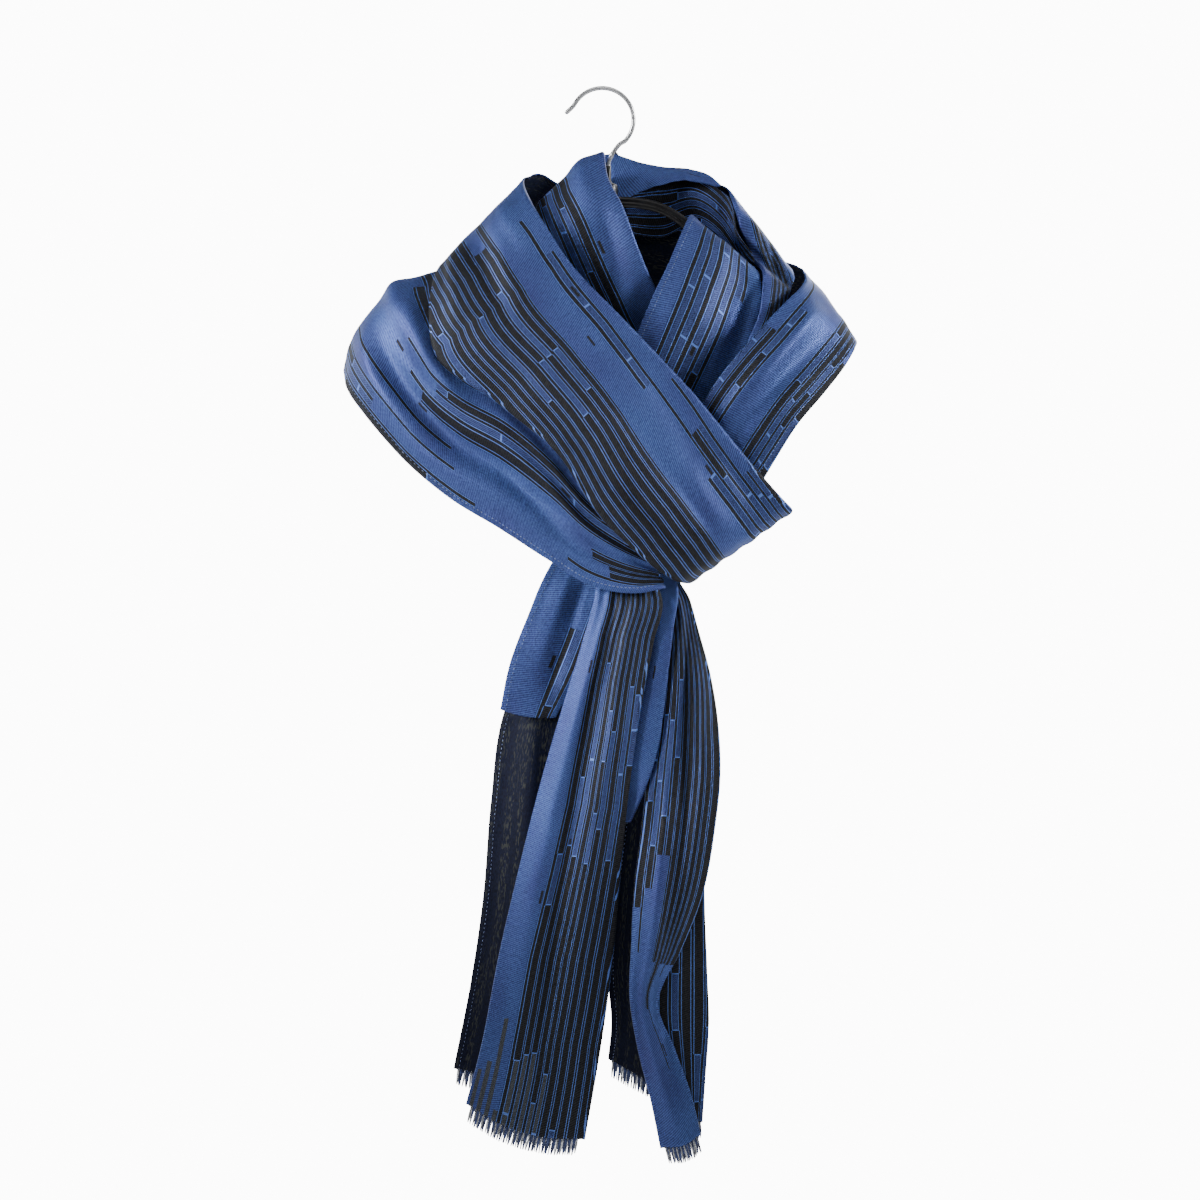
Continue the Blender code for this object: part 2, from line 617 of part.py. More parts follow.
def build_arms():
    """Both arms of the hanger in one sweep, grooved along the front and the back."""
    table = np.array(ARM_TOP, dtype=float)
    along = np.linspace(0.0, table[-1, 0], ARM_STEPS)
    half = smooth(table[:, 0], table[:, 1:2], along)[:, 0]
    places = [(SHAFT_X - x, z) for x, z in zip(along[:0:-1], half[:0:-1])]
    places += [(SHAFT_X + x, z) for x, z in zip(along, half)]
    line = np.array(places)
    slope = np.gradient(line, axis=0)
    slope /= np.linalg.norm(slope, axis=1)[:, None]

    deep = ARM_HALF_DEPTH
    tall = ARM_HALF_HEIGHT
    flat = ARM_FLAT * deep
    lip = ARM_LIP * tall
    ring = ((-deep, lip), (-flat, tall), (flat, tall), (deep, lip), (deep - ARM_GROOVE, 0.0),
            (deep, -lip), (flat, -tall), (-flat, -tall), (-deep, -lip), (-deep + ARM_GROOVE, 0.0))
    bm = bmesh.new()
    rings = []
    last = len(line) - 1
    for i in range(len(line)):
        x, z = line[i]
        along_x, along_z = slope[i]
        taper = ARM_END_TAPER if i in (0, last) else 1.0
        centre_x = x + along_z * tall
        centre_z = z - along_x * tall
        ring_verts = []
        for depth, up in ring:
            ring_verts.append(bm.verts.new((centre_x - along_z * up * taper,
                                            depth * taper,
                                            centre_z + along_x * up * taper)))
        rings.append(ring_verts)
    for left, right in zip(rings, rings[1:]):
        for j in range(len(ring)):
            after = (j + 1) % len(ring)
            bm.faces.new((left[j], left[after], right[after], right[j]))
    bm.faces.new(rings[0])
    bm.faces.new(rings[-1][::-1])
    bmesh.ops.recalc_face_normals(bm, faces=bm.faces)
    made = add_object("hanger_arms", bm, BLACK)
    made.data.set_sharp_from_angle(angle=math.radians(50))
    return made


def main():
    for old in list(bpy.data.objects):
        bpy.data.objects.remove(old)
    build_hook()
    build_neck()
    build_arms()
    for name, stretch in STRETCHES.items():
        build_stretch(name, stretch)
    for name, fringe in FRINGES.items():
        build_fringe(name, fringe)


main()
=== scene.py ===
"""How the silk scarf on its hanger looks: woven stripes, creases, hems, fringe and hanger.

The cloth's sections are the same tables as the solids', in millimetres. They are read here on
a fine grid, and the woven design is worked out in the cloth's material from each point's own
place across and along the threads.
"""

import math
from collections import namedtuple

import bmesh
import bpy
import numpy as np
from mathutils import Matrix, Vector


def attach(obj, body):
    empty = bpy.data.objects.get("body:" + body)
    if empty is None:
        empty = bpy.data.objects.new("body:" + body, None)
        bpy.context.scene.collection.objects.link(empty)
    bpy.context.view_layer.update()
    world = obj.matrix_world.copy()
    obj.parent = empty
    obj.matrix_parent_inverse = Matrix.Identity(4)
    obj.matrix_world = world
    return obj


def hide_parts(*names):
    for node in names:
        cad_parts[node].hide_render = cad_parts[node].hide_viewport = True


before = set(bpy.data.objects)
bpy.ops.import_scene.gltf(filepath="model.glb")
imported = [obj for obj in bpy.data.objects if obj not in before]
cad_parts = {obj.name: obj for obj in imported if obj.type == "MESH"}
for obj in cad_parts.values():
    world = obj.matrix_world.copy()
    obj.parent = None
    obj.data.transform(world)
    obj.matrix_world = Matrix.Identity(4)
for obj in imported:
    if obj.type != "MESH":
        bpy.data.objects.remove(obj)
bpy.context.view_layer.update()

MM = 0.001
UV_MM = 10.0
CLOTH_WALL = 0.55
ROLL_WALL = 0.6
ROW_STEP = 2.2
COLUMN_STEP = 1.7
ROLL_THREADS = 1.6
ROLL_STEPS = 7
SLOPE_STEP = 0.5
FOLD_FADE = 0.3
HEM_WIDTH = 4.6
HEM_RADIUS = 0.7

# Small creases: the shares of their length over which they rise and die away, and how much
# wider one side is than the other
CREASE_IN = 0.35
CREASE_OUT = 0.25
CREASE_LEAN = 1.8

# Gathers by the knot: how many across the width, and where the first one starts
GATHERS = 5.3
GATHER_START = 0.8

# Small unevenness: height, size across and along, and what is added to the sheet's seed
UNEVEN = ((0.55, 16, 60, 2), (0.22, 7, 22, 3))

# Hems, and how they pucker
HEM_STEP = 0.8
HEM_HEIGHT = 0.34
PUCKER = 0.55
PUCKER_LENGTH = 5.2
PUCKER_REACH = 5.0
PUCKER_SALT = 5

# Hook and hanger
WIRE_RADIUS = 1.4
HOOK_RADIUS = 19.5
HOOK_CENTRE_X = -0.6
HOOK_TIP = ((-23.5, -14.5), (-20.5, -11.8))
HOOK_BEND = ((10.6, -33.2), (7.4, -37.0), (4.9, -41.0), (3.6, -44.0), (3.1, -46.5), (3.1, -49.0))
WIRE_SIDES = 20
HOOK_TURNS = (152, -42)
SHAFT_X = 3.1

# Sleeve and boss: radius and height
NECK_OUTLINE = (
    (1.35, -46.8), (1.75, -47.1), (1.78, -52.0), (1.80, -56.0), (2.3, -57.2), (4.6, -58.2),
    (5.6, -58.7), (6.0, -59.6), (6.05, -62.0), (6.0, -64.6), (5.6, -65.6),
)
NECK_SIDES = 40

# Section of the arms, in depth and height, and how much smaller it is at the arms' ends
ARM_HALF = 3.1
ARM_RING = (
    (-4.4, 1.1), (-4.2, 2.0), (-3.6, 2.8), (-2.4, 3.1), (2.4, 3.1), (3.6, 2.8), (4.2, 2.0),
    (4.4, 1.1), (4.2, 0.7), (3.7, 0.3), (3.7, -0.3), (4.2, -0.7), (4.4, -1.1), (4.2, -2.0),
    (3.6, -2.8), (2.4, -3.1), (-2.4, -3.1), (-3.6, -2.8), (-4.2, -2.0), (-4.4, -1.1),
    (-4.2, -0.7), (-3.7, -0.3), (-3.7, 0.3), (-4.2, 0.7),
)
ARM_ENDS = (0.5, 0.8, 0.94, 1.0)

Row = namedtuple("Row", "ax ay az bx by bz crown bow", defaults=(0.0, 0.0))
Fold = namedtuple("Fold", "share_first share_last height width first last")

# Upper half of the outer round: out of the knot, up the front, over the left arm, across the
# back, over the right arm and down as a narrow fold. Edge a is the upper one.
#        ax   ay    az     bx   by    bz   crown
UPPER = (
    Row(112, -27, -258, 50, -25, -302),
    Row(117, -37, -262, 53, -36, -306),
    Row(113, -49, -258, 47, -50, -306, 1),
    Row(97, -55, -240, 36, -60, -300, 3),
    Row(76, -58, -215, 19, -64, -286, 4),
    Row(58, -58, -193, -3, -66, -264, 4),
    Row(35, -57, -168, -28, -66, -227, 4),
    Row(11, -54, -143, -62, -63, -198, 4),
    Row(-22, -46, -107, -103, -56, -165, 4),
    Row(-36, -38, -85, -107, -45, -140, 3),
    Row(-46, -24, -68, -105, -28, -120, 2),
    Row(-50, -6, -58, -101, -8, -109, 1),
    Row(-48, 12, -53, -96, 12, -107, 1),
    Row(-40, 28, -49, -86, 30, -119, 2),
    Row(-22, 40, -56, -48, 44, -133, 4),
    Row(8, 41, -43, 0, 50, -138, 5),
    Row(40, 39, -48, 48, 48, -134, 4),
    Row(66, 34.2, -54, 88, 39, -124, 3),
    Row(80, 26, -60, 115, 24, -109, 1),
    Row(83, 17, -69, 118, 12, -112),
    Row(86, 13, -85, 119, 5, -116),
    Row(93, 10, -101, 117, -1, -122),
    Row(103, -6, -109, 116, -7, -125),
    Row(103, -17, -124, 113, -14, -134, 1),
    Row(100, -26, -141, 109, -23, -148, 1),
    Row(93, -32, -157, 102, -30, -161, 1),
    Row(84, -36, -173, 95, -35, -179),
)

# Lower half of the outer round, from the knot to the left shoulder, the back, the right
# shoulder and down into the right tail.
LOWER = (
    Row(32, -51, -288, 38, -54, -309),
    Row(14, -55, -272, 20, -58, -312, 1),
    Row(-11, -55, -248, -8, -60, -307, 2),
    Row(-30, -54, -222, -33, -60, -292, 4),
    Row(-58, -52, -193, -64, -59, -272, 5),
    Row(-85, -49, -174, -95, -55, -253, 6),
    Row(-96, -43, -158, -120, -49, -232, 9),
    Row(-99, -35, -139, -144, -40, -205, 12),
    Row(-99, -23, -123, -157, -26, -187, 14),
    Row(-97, -7, -111, -160, -6, -174, 15),
    Row(-98, 13, -112, -158, 14, -176, 13),
    Row(-87, 37, -113, -146, 34, -192, 11),
    Row(-50, 51, -121, -100, 50, -216, 8),
    Row(0, 58, -126, -30, 58, -234, 6),
    Row(48, 56, -122, 40, 58, -236, 5),
    Row(88, 47, -111, 96, 48, -214, 5),
    Row(113, 34, -104, 138, 32, -184, 4),
    Row(124, 17, -110, 156, 12, -161, 3),
    Row(126, -1, -117, 158, -2, -156, 2),
    Row(122, -14, -123, 156, -13, -161, 1),
    Row(113, -26, -132, 150, -23, -171, 2),
    Row(97, -38, -149, 136, -34, -189, 4),
    Row(82, -44, -166, 119, -42, -209, 5),
    Row(68, -47, -184, 105, -45, -231, 5),
    Row(57, -47, -202, 95, -46, -247, 4),
    Row(44, -46, -228, 80, -45, -264, 3),
    Row(35, -42, -262, 62, -41, -284, 2),
    Row(28, -38.5, -288, 46, -37, -299),
    Row(38, -36, -316, 53.5, -35, -316),
    Row(39, -36, -336, 59, -35, -336, 1),
    Row(36, -37, -362, 66, -36, -362, 3),
    Row(31, -37, -395, 71, -37, -395, 4),
    Row(27, -38, -424, 72, -37, -424, 5),
    Row(24, -42, -452, 69, -39, -454, 5),
    Row(19, -46, -493, 61, -41, -497, 5),
    Row(17, -47, -530, 48, -44, -530, 4),
    Row(16, -46, -558, 34, -45, -561, 3),
    Row(21, -46, -590, 44, -45, -590, 3),
    Row(29, -46, -622, 54, -45, -618, 3),
    Row(35, -46, -651, 60, -44, -643, 3, 3),
)

# The inner round: from the fold at the knot behind both tails, up beside the hook, round the
# back under the outer round and down in front into the left tail. Edge b ends as a side hem.
INNER = (
    Row(111, -26, -258, 49, -24, -302),
    Row(104, -19, -254, 44, -16, -300),
    Row(88, -17, -232, 22, -14, -294),
    Row(66, -18, -196, -6, -15, -272),
    Row(50, -20, -163, -26, -18, -230),
    Row(40, -22, -138, -36, -22, -182),
    Row(32, -25, -123, -41, -26, -148, 2),
    Row(22, -27, -100, -46, -29, -112, 4),
    Row(12, -25, -73, -46, -27, -90, 4),
    Row(3, -16, -55, -44, -16, -77, 4),
    Row(0, -2, -38, -41, -2, -71, 4),
    Row(0, 13, -41, -41, 14, -76, 3),
    Row(3, 27, -60, -34, 28, -104, 3),
    Row(22, 36, -74, -10, 38, -134, 3),
    Row(44, 36, -82, 26, 40, -156, 2),
    Row(60, 27, -86, 64, 34, -154, 1),
    Row(60, 14, -82, 91, 17, -128, 1),
    Row(55, 3, -77, 96, 3, -113, 1),
    Row(53, -8, -79, 97, -8, -115, 1),
    Row(48, -17, -90, 98, -14, -130, 2),
    Row(41, -25, -107, 94, -18, -147, 3),
    Row(33, -31, -124, 88, -23, -164, 4),
    Row(21, -37, -152, 76, -29, -188, 4),
    Row(8, -41, -182, 62, -33, -214, 3),
    Row(-4, -43, -218, 48, -35, -246, 2),
    Row(-18, -44, -258, 32, -37, -272, 1),
    Row(-27, -44, -286, 23, -39, -292),
)

# The neck edge of the back, folded over to the inside. Edge b is its top.
COLLAR_FOLD = (
    Row(4.6, 20, -68, 5.5, 32, -35, 2),
    Row(24, 19, -61, 24, 32, -40.5, 2),
    Row(40, 21, -56, 38, 31, -43, 1),
    Row(52, 24, -54, 54, 30, -44.5, 1),
    Row(63, 25, -56, 66, 28, -49),
)

# The striped layer that shows between the folded collar and the right shoulder.
COLLAR_INNER = (
    Row(12, 31, -86, 14, 27, -62),
    Row(38, 35.2, -88, 38, 27, -58, 1),
    Row(58, 23.6, -81, 57, 25, -59, 1),
    Row(72, 17, -90, 72, 23, -66, 1),
    Row(83, 14, -104, 80, 19, -78, 1),
)

# Left tail: the front panel, the flap beside it, the fold on its right, and the back layer.
LEFT_FRONT = (
    Row(-4, -45, -290, 23, -42.5, -292),
    Row(-5, -51, -312, 36, -50, -314, 3),
    Row(-13, -51, -342, 31, -50, -342, 5),
    Row(-24, -50, -378, 24, -49, -378, 6),
    Row(-39, -48, -430, 16, -47, -432, 6),
    Row(-52, -47, -482, 11, -46, -482, 6),
    Row(-64, -46, -534, 6, -45, -536, 5),
    Row(-74, -45, -586, -1, -44, -588, 4),
    Row(-84, -44, -624, -11, -44, -646, 3, 7),
)
LEFT_FLAP = (
    Row(-27.2, -44, -286.8, -1, -41.6, -290.2),
    Row(-33, -43, -296, 0, -39, -304, 1),
    Row(-39, -42, -308, -3, -38, -319, 2),
    Row(-45, -42, -323, -7, -38, -334, 2),
    Row(-58, -41, -358, -19, -38, -368, 2),
    Row(-63, -40, -383, -29, -38, -388, 2, 2),
)
LEFT_MID = (
    Row(29, -42.8, -289, 44, -42.5, -296),
    Row(27, -42, -312, 46, -43, -312),
    Row(24, -41, -334, 43, -43, -334, 1),
    Row(20, -41, -359, 40, -43, -359, 1),
    Row(14, -41, -384, 37, -43, -384, 1),
    Row(11, -41, -409, 33, -43, -409, 1),
    Row(9, -39, -430, 26, -42, -431),
    Row(8, -38, -452, 17, -39, -452),
)
LEFT_BACK = (
    Row(-26, -42, -288, 20, -37, -292),
    Row(-32, -33, -314, 25, -31, -318),
    Row(-44, -29, -344, 24, -29, -346, 2),
    Row(-61, -28, -385, 17, -29, -382, 3),
    Row(-69, -27, -440, 10, -29, -440, 3),
    Row(-74, -26, -500, 4, -29, -500, 3),
    Row(-81, -25, -548, -1, -28, -548, 3),
    Row(-92, -25, -604, -8, -28, -612, 2, 4),
)

# Right tail: the second layer at its right, and the back layer.
RIGHT_SIDE = (
    Row(31, -38, -470, 62, -36.3, -480),
    Row(30, -36, -500, 62.5, -34, -505, 1),
    Row(28, -35, -545, 64, -34, -545, 2),
    Row(28, -36, -575, 65, -34, -575, 2),
    Row(36, -36, -606, 63, -34, -606, 2),
    Row(44, -36, -640, 61, -34, -636, 1),
)
RIGHT_BACK = (
    Row(29, -33.6, -290, 45, -32.7, -299),
    Row(33, -28.5, -316, 52, -28, -318),
    Row(31, -27.5, -350, 60, -27.5, -350, 2),
    Row(22, -27, -400, 65, -27, -400, 3),
    Row(15, -27, -450, 65, -27, -450, 3),
    Row(9, -27, -500, 58, -27, -500, 3),
    Row(6, -26, -545, 58, -27, -545, 3),
    Row(5, -26, -575, 57, -27, -580, 3),
    Row(3, -26, -598, 55, -27, -622, 2, 2),
)

# Top edge of the hanger's arm: how far it is from the shaft, and its height.
ARM_TOP = ((0, -66), (20, -67), (34, -70.5), (45, -76.5), (50, -80.3), (59, -86.1),
           (70, -98), (82, -109), (97, -120.5), (120, -136), (147, -152))

# The largest folds of each round, which run on through its stretches. The first and last are
# numbers of rows, and the shares are where the fold lies across the width there.
UPPER_FOLDS = (
    Fold(0.60, 0.72, 3.0, 12, 1, 9),
    Fold(0.30, 0.25, -1.5, 16, 2, 10),
    Fold(0.35, 0.50, 5.0, 14, 11.5, 18),
    Fold(0.65, 0.78, -4.0, 12, 12, 17.5),
)
LOWER_FOLDS = (
    Fold(0.30, 0.34, 4.5, 9, 1, 12),
    Fold(0.55, 0.60, -8.0, 10, 2, 8.6),
    Fold(0.80, 0.82, 3.5, 12, 3, 16),
    Fold(0.45, 0.50, 6.0, 14, 10, 17.5),
    Fold(0.66, 0.66, -6.0, 12, 10, 17),
    Fold(0.35, 0.30, 2.5, 9, 18.5, 24),
    Fold(0.70, 0.60, -2.5, 10, 19, 25),
    Fold(0.22, 0.30, 4.0, 6, 31, 38),
    Fold(0.55, 0.60, -3.0, 6, 28, 35),
    Fold(0.80, 0.75, 2.5, 6, 27.5, 36),
)
INNER_FOLDS = (
    Fold(0.28, 0.24, 2.5, 9, 4, 12),
    Fold(0.62, 0.55, -2.5, 8, 4, 11),
    Fold(0.30, 0.25, 2.5, 10, 17, 24),
    Fold(0.84, 0.90, -3.0, 8, 18, 24),
)
LEFT_FRONT_FOLDS = (
    Fold(0.14, 0.22, 2.0, 8, 0.5, 7.6),
    Fold(0.42, 0.50, -3.0, 9, 0.6, 8.5),
    Fold(0.74, 0.78, 3.0, 9, 0.8, 10),
)
LEFT_FLAP_FOLDS = (
    Fold(0.72, 0.66, -2.5, 8, 0.5, 5),
)
LEFT_BACK_FOLDS = (
    Fold(0.30, 0.26, 3.0, 11, 1, 8),
    Fold(0.60, 0.66, -3.0, 11, 1, 9),
)
RIGHT_BACK_FOLDS = (
    Fold(0.35, 0.40, 2.5, 10, 1, 9),
    Fold(0.70, 0.66, -2.5, 9, 1, 9),
)


# The woven design of each sheet, in the cloth's own millimetres: across the threads from
# edge a, and along by row. Each patch makes charcoal lines more or less likely round its
# place, the bars between two lines more often charcoal or hatched blue, and bars grey.
# Two patches also pile charcoal where folds lie in shade: partly woven design, partly painted
# shade.
Patch = namedtuple("Patch", "u row reach_u reach_v lines coal grey", defaults=(0.0,))
UPPER_PATCHES = (
    Patch(86, 6, 44, 260, 1.9, 0.0),
    Patch(86, 9.5, 44, 76, 0.4, 1.3),
    Patch(74, 7.0, 30, 30, 0.3, -0.45),
    Patch(62, 3.6, 30, 80, 0.6, 1.5),
    Patch(48, 5.5, 4.6, 280, 2.5, 2.0),
    Patch(28, 6.0, 15, 280, -1.6, 0.0),
    Patch(19, 7.4, 9, 80, 3.2, -1.0),
    Patch(6, 1.8, 26, 76, 2.4, -0.6),
    Patch(78, 1.6, 30, 56, 0.6, 1.5),
    # Charcoal piled where the front band folds into shade by the knot: partly woven charcoal,
    # partly painted shade
    Patch(87, 5.4, 24, 62, 0.6, 1.9),
    Patch(40, 14.5, 30, 90, 1.2, 0.1),
    Patch(40, 22.0, 34, 80, 1.6, 0.2),
)
LOWER_PATCHES = (
    Patch(52, 6.8, 19, 60, 1.9, -0.1),
    Patch(-14, 7.0, 18, 80, 2.0, 0.6),
    Patch(20, 8.0, 15, 60, -1.5, 0.0),
    Patch(12, 4.0, 26, 54, 1.9, 0.3),
    Patch(26, 0.8, 60, 56, 2.0, 0.3),
    Patch(44, 4.4, 14, 26, -0.7, 0.0),
    Patch(50, 13.0, 44, 170, 1.1, 0.1),
    Patch(3, 22.0, 13, 120, 2.2, -0.3),
    Patch(22, 22.0, 10, 120, -1.5, 0.0),
    Patch(44, 22.5, 16, 110, 2.2, 0.1),
    # Charcoal piled on the right tail's upper part under the knot: partly woven charcoal, partly
    # painted shade
    Patch(34, 31.0, 50, 200, 2.0, 0.90),
    Patch(14, 35.5, 11, 56, -2.2, -1.0),
    Patch(44, 37.0, 30, 70, 0.4, 0.5),
    Patch(34, 28.3, 60, 56, 0.3, 1.3),
    Patch(18, 31.6, 18, 46, 0.0, -1.4),
    Patch(52, 32.6, 26, 130, 0.4, 1.3),
)
INNER_PATCHES = (
    Patch(7, 8.0, 13, 130, -1.6, 0.0),
    Patch(44, 8.0, 32, 130, 2.3, 0.1),
    Patch(3, 20.0, 6, 130, -1.6, 0.0),
    Patch(30, 20.0, 27, 84, 1.3, -0.8),
    Patch(64, 20.0, 15, 100, 2.0, 0.3),
    Patch(40, 13.5, 28, 80, 1.1, 0.1),
)
LEFT_FRONT_PATCHES = (
    Patch(54, 4.0, 38, 520, 2.1, 0.0),
    Patch(6, 4.0, 16, 520, -2.4, -1.0),
    Patch(52, 1.2, 38, 80, 0.3, 0.7),
    Patch(54, 4.0, 38, 56, 0.0, -0.12),
    Patch(60, 6.5, 46, 90, 0.4, 0.9),
    Patch(26, 8.2, 44, 38, 0.0, -1.8, 2.2),
)
FLAP_PATCHES = (
    Patch(20, 2.5, 60, 120, -0.4, -0.3),
    Patch(22, 3.8, 10, 30, 1.9, 0.2),
)
DENSE_PATCHES = (
    Patch(20, 2.5, 80, 220, 1.7, 0.2),
)
PLAIN_PATCHES = (
    Patch(10, 2.0, 60, 260, -1.0, 0.0),
)

# How the threads lie against the sections: the cloth's own millimetre at each edge, by row
Threads = namedtuple("Threads", "row u_a u_b")
UPPER_THREADS = (
    Threads(0, -6, 70), Threads(2, -6, 75), Threads(4, -2, 85), Threads(6, 4, 91),
    Threads(7, 9, 99), Threads(8, 13, 111), Threads(9, 13, 102), Threads(10, 11, 90),
    Threads(11, 9, 81), Threads(12, 8, 77), Threads(14, 8, 86), Threads(18, 8, 68),
    Threads(21, 10, 48), Threads(26, 20, 38),
)
LOWER_THREADS = (
    Threads(0, 8, 62), Threads(3, 0, 64), Threads(5, -7, 66), Threads(7, -16, 66),
    Threads(9, -24, 66), Threads(12, -12, 92), Threads(14, 0, 112), Threads(17, 0, 62),
    Threads(18, 0, 50), Threads(21, -3, 53), Threads(24, -3, 54), Threads(26, 8, 50),
    Threads(27, 14, 44), Threads(28, 13, 47), Threads(31, 5, 60), Threads(35, 6, 60),
    Threads(39, 14, 48),
)
INNER_THREADS = (
    Threads(0, 0, 76), Threads(5, 0, 84), Threads(6, 0, 77), Threads(7, -1, 66),
    Threads(8, -3, 57), Threads(10, -5, 46), Threads(12, -2, 52), Threads(14, 0, 70),
    Threads(17, 0, 48), Threads(20, 0, 50), Threads(23, -3, 50), Threads(26, -8, 50),
)
LEFT_FRONT_THREADS = (
    Threads(0, 6, 72), Threads(1, 8, 75), Threads(1.8, 8, 76), Threads(2.6, 5, 74),
    Threads(3.4, 0, 71), Threads(4.2, -3, 70), Threads(5, -2, 73), Threads(6, 1, 78),
    Threads(7, 1, 80), Threads(8, 0, 78),
)
NARROW_THREADS = (Threads(0, 0, 28), Threads(8, 0, 36))
WIDE_THREADS = (Threads(0, 0, 72), Threads(8, 0, 80))

# Small creases: row and share of both ends, height, half width and bend in mm
Crease = namedtuple("Crease", "row0 share0 row1 share1 height width bend", defaults=(0.0,))
UPPER_CREASES = (
    Crease(1.3, 0.72, 6.6, 0.55, 2.6, 5.0, 3),
    Crease(1.2, 0.88, 5.2, 0.78, -2.0, 4.0, -2),
    Crease(1.2, 0.55, 4.4, 0.34, 1.9, 4.5, 2),
    Crease(1.1, 0.30, 3.9, 0.10, -1.8, 5.0, -2),
    Crease(2.4, 0.45, 7.6, 0.20, 1.6, 8.0, 4),
    Crease(3.2, 0.26, 6.8, 0.06, -1.5, 7.0, 2),
    Crease(3.6, 0.94, 7.2, 0.88, 1.6, 3.0, 1),
    Crease(6.8, 0.68, 10.8, 0.42, -3.0, 8.0, 5),
    Crease(7.6, 0.40, 11.0, 0.26, 2.2, 8.0, 3),
    Crease(8.0, 0.14, 11.2, 0.20, 1.6, 5.0, 2),
    Crease(7.9, 0.88, 10.8, 0.76, 2.4, 5.5, -3),
    Crease(8.6, 0.55, 12.0, 0.50, -1.6, 5.0, 3),
    Crease(11.6, 0.30, 17.3, 0.42, -2.4, 5.0, 4),
    Crease(12.2, 0.55, 16.0, 0.72, 2.2, 4.0, -4),
    Crease(13.0, 0.12, 15.6, 0.20, 1.4, 4.5, 0),
    Crease(14.5, 0.86, 17.8, 0.70, -1.8, 4.0, 2),
    Crease(18.2, 0.35, 20.8, 0.30, 1.4, 3.0, 1),
    Crease(18.6, 0.68, 21.0, 0.60, -1.2, 2.6, 0),
)
LOWER_CREASES = (
    Crease(0.4, 0.30, 4.8, 0.16, 1.8, 2.8, 2),
    Crease(0.3, 0.45, 4.6, 0.32, -2.2, 3.2, 2),
    Crease(0.3, 0.62, 4.0, 0.56, 2.0, 3.4, -2),
    Crease(0.3, 0.80, 3.4, 0.82, -1.6, 3.4, 0),
    Crease(3.6, 0.40, 8.6, 0.44, -3.6, 5.0, -6),
    Crease(4.4, 0.24, 8.6, 0.26, 3.0, 5.5, -5),
    Crease(5.2, 0.62, 8.8, 0.68, 2.6, 5.5, 3),
    Crease(3.2, 0.76, 6.8, 0.86, 1.6, 5.0, 2),
    Crease(6.4, 0.12, 9.2, 0.10, -2.4, 4.0, 2),
    Crease(7.0, 0.88, 10.0, 0.78, -2.0, 6.0, 3),
    Crease(9.4, 0.30, 13.4, 0.42, -2.2, 4.5, 4),
    Crease(9.8, 0.60, 15.0, 0.64, 2.4, 5.0, -5),
    Crease(11.4, 0.82, 16.4, 0.80, -1.8, 5.0, 3),
    Crease(13.6, 0.22, 17.6, 0.30, 1.8, 4.0, 2),
    Crease(15.6, 0.52, 18.4, 0.50, -1.8, 4.0, 0),
    Crease(18.6, 0.22, 22.8, 0.36, 1.8, 5.5, 2),
    Crease(19.0, 0.64, 24.6, 0.56, -2.4, 6.0, -3),
    Crease(19.8, 0.84, 25.8, 0.82, 1.6, 4.0, 1),
    Crease(21.6, 0.16, 26.8, 0.26, -1.6, 3.4, 1),
    Crease(27.2, 0.35, 31.0, 0.38, 1.6, 2.4, 0),
    Crease(27.2, 0.60, 33.2, 0.62, -1.8, 2.6, 2),
    Crease(27.3, 0.82, 32.0, 0.84, 1.4, 2.4, 0),
    Crease(31.6, 0.24, 37.6, 0.46, 2.2, 3.4, 4),
    Crease(33.4, 0.74, 38.6, 0.60, -1.6, 3.0, -2),
    Crease(36.2, 0.30, 38.9, 0.42, 1.2, 3.0, 0),
)
INNER_CREASES = (
    Crease(5.2, 0.55, 9.8, 0.45, 1.3, 4.0, 3),
    Crease(6.0, 0.25, 10.4, 0.20, 1.0, 5.0, -2),
    Crease(6.4, 0.78, 10.6, 0.66, -1.2, 3.4, 2),
    Crease(17.2, 0.55, 21.6, 0.46, 1.0, 4.0, 2),
    Crease(17.4, 0.86, 22.6, 0.78, -1.2, 3.4, -2),
    Crease(19.0, 0.14, 23.6, 0.20, 0.9, 4.0, 1),
)
LEFT_FRONT_CREASES = (
    Crease(0.1, 0.18, 5.2, 0.22, 1.3, 4.5, 2),
    Crease(0.1, 0.34, 3.6, 0.36, -1.6, 2.6, 1),
    Crease(0.1, 0.58, 7.4, 0.56, -1.3, 4.0, -3),
    Crease(0.1, 0.72, 4.4, 0.74, 1.6, 2.8, 0),
    Crease(2.8, 0.86, 7.9, 0.88, -1.2, 3.6, 2),
    Crease(5.0, 0.40, 7.9, 0.30, 1.1, 5.0, 2),
)
FLAP_CREASES = (
    Crease(0.2, 0.50, 4.0, 0.42, 1.2, 4.0, 1),
    Crease(0.2, 0.84, 4.6, 0.80, -1.6, 3.4, 0),
)
LONG_CREASES = (
    Crease(0.2, 0.30, 6.4, 0.34, 1.5, 5.0, 3),
    Crease(0.2, 0.55, 7.4, 0.60, -1.4, 4.5, -3),
    Crease(0.4, 0.80, 7.0, 0.82, 1.3, 4.0, 2),
)
SHORT_CREASES = (
    Crease(0.1, 0.40, 3.4, 0.60, 0.8, 4.0, 0),
)

